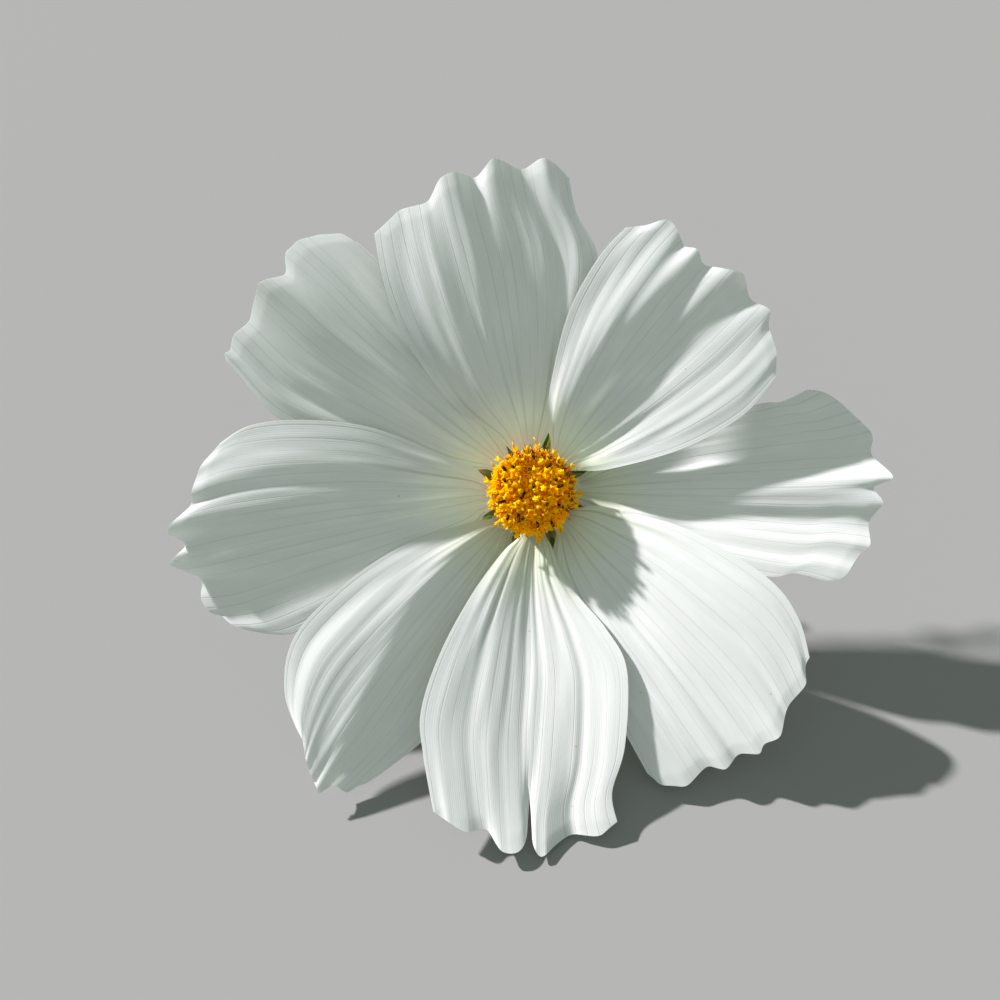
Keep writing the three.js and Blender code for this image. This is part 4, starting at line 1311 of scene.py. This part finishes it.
@dataclass(frozen=True)
class Bract:
    """The form of one kind of bract: it leaves its ring, arches outwards and ends in a point."""

    root: float
    reach: float
    width: float
    thickness: float
    bowl_share: float = 0.0
    slope: float = 0.0
    droop: float = 0.0
    droop_start: float = 4.0
    droop_power: float = 2.0
    keel: float = 0.0
    keel_width: float = 0.18
    cupping: float = 0.25
    root_share: float = 0.3
    roundness: float = 0.8
    bluntness: float = 0.03
    thinning: float = 0.6
    rows: int = 28
    columns: int = 13

    def shell(self, base: float) -> Shell:
        """One bract along +X.

        Args:
            base: The height at which it leaves its ring.

        Returns:
            The bract's shell, in the head's plane.
        """
        places = np.linspace(0, 1, self.rows), np.linspace(-1, 1, self.columns)
        v, across = np.meshgrid(*places, indexing="ij")
        swell = np.sin(math.pi * (self.root_share + (1 - self.root_share) * v)) ** self.roundness
        half = self.width / 2 * np.maximum(swell, self.bluntness)
        x = self.root + (self.reach - self.root) * v
        z = base + self.bowl_share * bowl_height(x) + self.slope * (x - self.root)
        z -= self.droop * np.maximum(x - self.droop_start, 0) ** self.droop_power
        z += self.cupping * across**2 * v
        z -= self.keel * np.exp(-((across / self.keel_width) ** 2)) * (1 - v)
        grid = np.stack([x, across * half, z], -1).reshape(-1, 3)
        flat = np.stack([(across + 1) / 2, v], -1).reshape(-1, 2)
        thickness = self.thickness * (1 - self.thinning * np.maximum(np.abs(across) ** 3, v**4))
        return plate(grid, self.columns, thickness.ravel(), flat)


@dataclass
class Involucre:
    """The receptacle and its two rings of bracts."""

    head: HeadFrame
    inner: Bract = Bract(3.4, 9.4, 4.2, 0.4, bowl_share=0.55, droop=0.03, droop_start=4.6, droop_power=1.4)
    outer: Bract = Bract(3.0, 12.5, 2.3, 0.55, slope=0.18, droop=0.022, keel=0.12)
    washer_inner: float = 2.6
    washer_outer: float = 4.6
    washer_top: float = -0.65
    washer_bottom: float = -1.45
    inner_sink: float = 0.05
    outer_sink: float = 0.45
    receptacle_radius: float = 4.1
    receptacle_bottom: float = -5.2
    neck: float = 1.5
    gap: float = 0.3
    gaps: tuple[float, ...] = (74.5, 22, -18, -67, -115.5, -153, 162, 121.5)
    sides: int = 64

    def washer(self) -> Shell:
        """The ring that carries the inner bracts.

        Returns:
            Its shell, in the head's plane.
        """
        low, high = self.washer_bottom, self.washer_top
        corners = (
            (self.washer_inner, low), (self.washer_outer, low), (self.washer_outer, high),
            (self.washer_inner, high),
        )
        points = np.vstack([circle(*corner, self.sides) for corner in corners])
        faces = []
        for level, above in ((0, 1), (1, 2), (2, 3), (3, 0)):
            here, there = level * self.sides, above * self.sides
            for j in range(self.sides):
                k = (j + 1) % self.sides
                faces.append((here + j, here + k, there + k, there + j))
        return Shell(points, faces, np.zeros((len(points), 2)))

    def receptacle(self) -> Shell:
        """The green cup between the stalk and the petals.

        Returns:
            Its shell, in the head's plane.
        """
        shoulder, core = self.washer_bottom - self.gap, self.washer_inner - self.gap
        bottom = self.receptacle_bottom
        profile = (
            (self.neck * 0.6, bottom), (self.neck, bottom + 0.05), (1.8, -4.8), (2.3, -4.2), (3.0, -3.6),
            (3.6, -2.95), (4.0, -2.4), (self.receptacle_radius, shoulder - 0.3),
            (self.receptacle_radius - 0.1, shoulder), (core, shoulder), (core, self.washer_top),
            (0.5, self.washer_top),
        )
        return ringed([circle(radius, height, self.sides) for radius, height in profile])

    def build(self, finishes: dict[SoftTissue, bpy.types.Material]) -> None:
        """Make the bracts and the receptacle.

        Args:
            finishes: The finishes' materials.
        """
        inner = self.inner.shell((self.washer_top + self.washer_bottom) / 2 - self.inner_sink)
        outer = self.outer.shell(self.washer_bottom - self.gap - self.outer_sink)
        petals = [petal.azimuth for petal in PETALS]
        rings = (
            ("inner_bract", [self.washer()], inner, petals, INNER_BRACT, Slot.INNER_BRACT),
            ("outer_bract", [], outer, self.gaps, OUTER_BRACT, Slot.OUTER_BRACT),
        )
        for name, carriers, bract, azimuths, tissue, slot in rings:
            turns = [Matrix.Rotation(math.radians(azimuth), 4, "Z") for azimuth in azimuths]
            shell = merged([*carriers, *(bract.moved(turn) for turn in turns)])
            settle(make_object(f"{name}_ring", self.head.place(shell), finishes[tissue]), f"{name}s")
        cup = make_object("receptacle", self.head.place(self.receptacle()), finishes[OUTER_BRACT], 45.0)
        settle(cup, "outer_bracts")


# ---------------------------------------------------------------- stalk


@dataclass
class Stalk:
    """The leafless stalk: out of the head's back, an even bend, then lying along the surface.

    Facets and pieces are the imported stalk's: how many it has round it, and in how many straight
    pieces it lies. This stalk rests at the same height and ends at the same place.
    """

    radius: float = 1.0
    sides: int = 40
    ribs: int = 10
    rib_height: float = 0.05
    head_height: float = 13.6
    tilt: float = 30.0
    gap: float = 0.3
    root: float = -5.2
    facets: int = 10
    pieces: int = 8
    rest_length: float = 32.0
    swerve: float = -3.5
    bend_points: int = 24
    lying_points: int = 33

    @property
    def start(self) -> Pair:
        """Where the stalk leaves the head: (y, z) from the point on the surface under its centre."""
        back, depth = math.radians(self.tilt), self.root - self.gap
        return -depth * math.sin(back), self.head_height + depth * math.cos(back)

    @property
    def rest(self) -> float:
        """Height of the lying stretch's centre line."""
        return self.radius * math.cos(math.pi / self.facets)

    def path(self) -> np.ndarray:
        """The centre line, from the point on the surface under the head's centre.

        Returns:
            Its points in order.
        """
        y, z = self.start
        back = math.radians(90 - self.tilt)
        bend = (z - self.rest) / (1 - math.cos(back))
        angle = back * (1 - np.arange(self.bend_points) / self.bend_points)
        landing = y + bend * math.sin(back)
        bent = (0 * angle, landing - bend * np.sin(angle), self.rest + bend * (1 - np.cos(angle)))
        along = np.linspace(0, 1, self.lying_points)
        lying = (self.swerve * along**2, landing + self.rest_length * along, self.rest + 0 * along)
        return np.vstack([np.stack(bent, 1), np.stack(lying, 1)])

    def reach(self) -> float:
        """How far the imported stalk's cut end reaches beyond the head's centre, along +Y.

        Returns:
            The distance.
        """
        run = self.path()[-1]
        turn = math.atan(abs(self.swerve) * (2 - 1 / self.pieces) / self.rest_length)
        return float(run[1] + self.rest * math.sin(turn))

    def sweep(self) -> bpy.types.NodeTree:
        """Build the geometry tree that sweeps a ribbed ring along a path.

        Returns:
            The tree. Its inputs are in metres.
        """
        tree = geometry_tree("ribbed stalk", {
            "Path": "Geometry", "Radius": "Float", "Rib Height": "Float", "Sides": "Int", "Ribs": "Int",
            "Material": "Material",
        })
        node = partial(add, tree)
        given = node("NodeGroupInput").outputs
        wave = node("GeometryNodeInputIndex")
        # The ring sinks between its ribs by a cosine of the angle, from none to twice a rib's height.
        for operation, *value in (
            ("MULTIPLY", given["Ribs"]), ("DIVIDE", given["Sides"]), ("MULTIPLY", 2 * math.pi), ("COSINE",),
            ("ADD", -1.0), ("MULTIPLY", given["Rib Height"]),
        ):
            wave = node("ShaderNodeMath", dict(enumerate((wave, *value))), operation=operation)
        spot = node("GeometryNodeInputPosition")
        outwards = node("ShaderNodeVectorMath", {0: spot}, operation="NORMALIZE")
        offset = node("ShaderNodeVectorMath", {0: outwards, "Scale": wave}, operation="SCALE")
        ring = node("GeometryNodeCurvePrimitiveCircle",
                    {"Resolution": given["Sides"], "Radius": given["Radius"]})
        ribbed = node("GeometryNodeSetPosition", {"Geometry": ring, "Offset": offset})
        swept = node("GeometryNodeCurveToMesh",
                     {"Curve": given["Path"], "Profile Curve": ribbed, "Fill Caps": True})
        smooth = node("GeometryNodeSetShadeSmooth", {"Geometry": swept, "Shade Smooth": True})
        end_tree(tree, smooth, given["Material"])
        return tree

    def build(self, head: HeadFrame, finish: bpy.types.Material) -> None:
        """Make the stalk.

        Args:
            head: Where the head stands.
            finish: The stalk's material.
        """
        points = self.path() + np.array([head.centre.x, head.centre.y, 0.0])
        curve = bpy.data.curves.new("stalk path", "CURVE")
        curve.dimensions = "3D"
        line = curve.splines.new("POLY")
        line.points.add(len(points) - 1)
        line.points.foreach_set("co", np.hstack([points * MM, np.ones((len(points), 1))]).ravel())
        values = {
            "Radius": self.radius * MM, "Rib Height": self.rib_height * MM, "Sides": self.sides,
            "Ribs": self.ribs, "Material": finish,
        }
        piece = from_tree("stalk", linked("stalk path", curve), self.sweep(), values)
        settle(piece, "stem")


# ---------------------------------------------------------------- studio


@dataclass
class Studio:
    """The plain floor, the light and the camera."""

    head: HeadFrame
    lens: float = 126.0
    distance: float = 420.0
    aim: Pair = (-4.02, -1.08)
    clip: Pair = (0.01, 20.0)
    sun_azimuth: float = 136.0
    sun_height: float = 8.1
    sun_strength: float = 9.9
    sun_angle: float = 2.0
    sun_colour: tuple[float, float, float] = (1.0, 0.97, 1.0)
    fill: str = "#b0bcb7"
    fill_strength: float = 0.93
    floor_colour: str = "#888886"
    floor_roughness: float = 0.9
    floor_specular: float = 0.1
    floor_size: float = 3000.0

    def floor(self) -> None:
        """Lay a plain pale floor under the flower."""
        card = blank_material("matt studio card")
        skin = add(card.node_tree, "ShaderNodeBsdfPrincipled", {
            "Base Color": linear(self.floor_colour), "Roughness": self.floor_roughness,
            "Specular IOR Level": self.floor_specular,
        })
        add(card.node_tree, "ShaderNodeOutputMaterial", {"Surface": skin})
        half = self.floor_size / 2
        points = np.array([[-half, -half, 0], [half, -half, 0], [half, half, 0], [-half, half, 0]])
        make_object("studio floor", Shell(points, [(0, 1, 2, 3)], np.zeros((4, 2))), card)

    def lights(self) -> None:
        """Set a low key light behind the flower's left shoulder and an even fill."""
        key = bpy.data.lights.new("key", "SUN")
        key.energy = self.sun_strength
        key.angle = math.radians(self.sun_angle)
        key.color = self.sun_colour
        azimuth, height = math.radians(self.sun_azimuth), math.radians(self.sun_height)
        flat = math.cos(height)
        towards = Vector((flat * math.cos(azimuth), flat * math.sin(azimuth), math.sin(height)))
        towards.rotate(Matrix.Rotation(math.radians(self.head.tilt), 3, "X"))
        linked("key", key).rotation_euler = towards.to_track_quat("Z", "Y").to_euler()
        world = bpy.data.worlds.new("soft studio")
        world.use_nodes = True
        sky = world.node_tree.nodes["Background"]
        sky.inputs["Color"].default_value = linear(self.fill)
        sky.inputs["Strength"].default_value = self.fill_strength
        bpy.context.scene.world = world
        bpy.context.scene.view_settings.view_transform = "Standard"

    def camera(self) -> None:
        """Look at the flower's face along its axis."""
        data = bpy.data.cameras.new("camera")
        data.lens = self.lens
        data.clip_start, data.clip_end = self.clip
        camera = linked("camera", data)
        camera.location = self.head.matrix @ Vector((*self.aim, self.distance)) * MM
        camera.rotation_euler = (math.radians(self.head.tilt), 0.0, 0.0)
        bpy.context.scene.camera = camera

    def build(self) -> None:
        """Set up the studio."""
        self.floor()
        self.lights()
        self.camera()


def main() -> None:
    """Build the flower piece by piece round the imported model, and the studio round the flower."""
    logging.basicConfig(level=logging.INFO, format="%(name)s %(message)s")
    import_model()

    stalk = Stalk()
    _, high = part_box("stem")
    centre = Vector((high[0] / MM - stalk.radius, high[1] / MM - stalk.reach(), stalk.head_height))
    head = HeadFrame(centre, stalk.tilt)
    LOG.info("head centre at %.2f, %.2f, %.2f mm", *centre)

    tissues = (FLORET, BUD, ANTHER, STYLE, WITHERED, DOME, OUTER_BRACT, INNER_BRACT, STALK)
    finishes = {tissue: tissue.build() for tissue in tissues}
    Corolla(head).build(SUNWARD_PETAL.build(), LEEWARD_PETAL.build())
    Disc(head).build(finishes)
    Involucre(head).build(finishes)
    stalk.build(head, finishes[STALK])
    Studio(head).build()


if __name__ == "__main__":
    main()
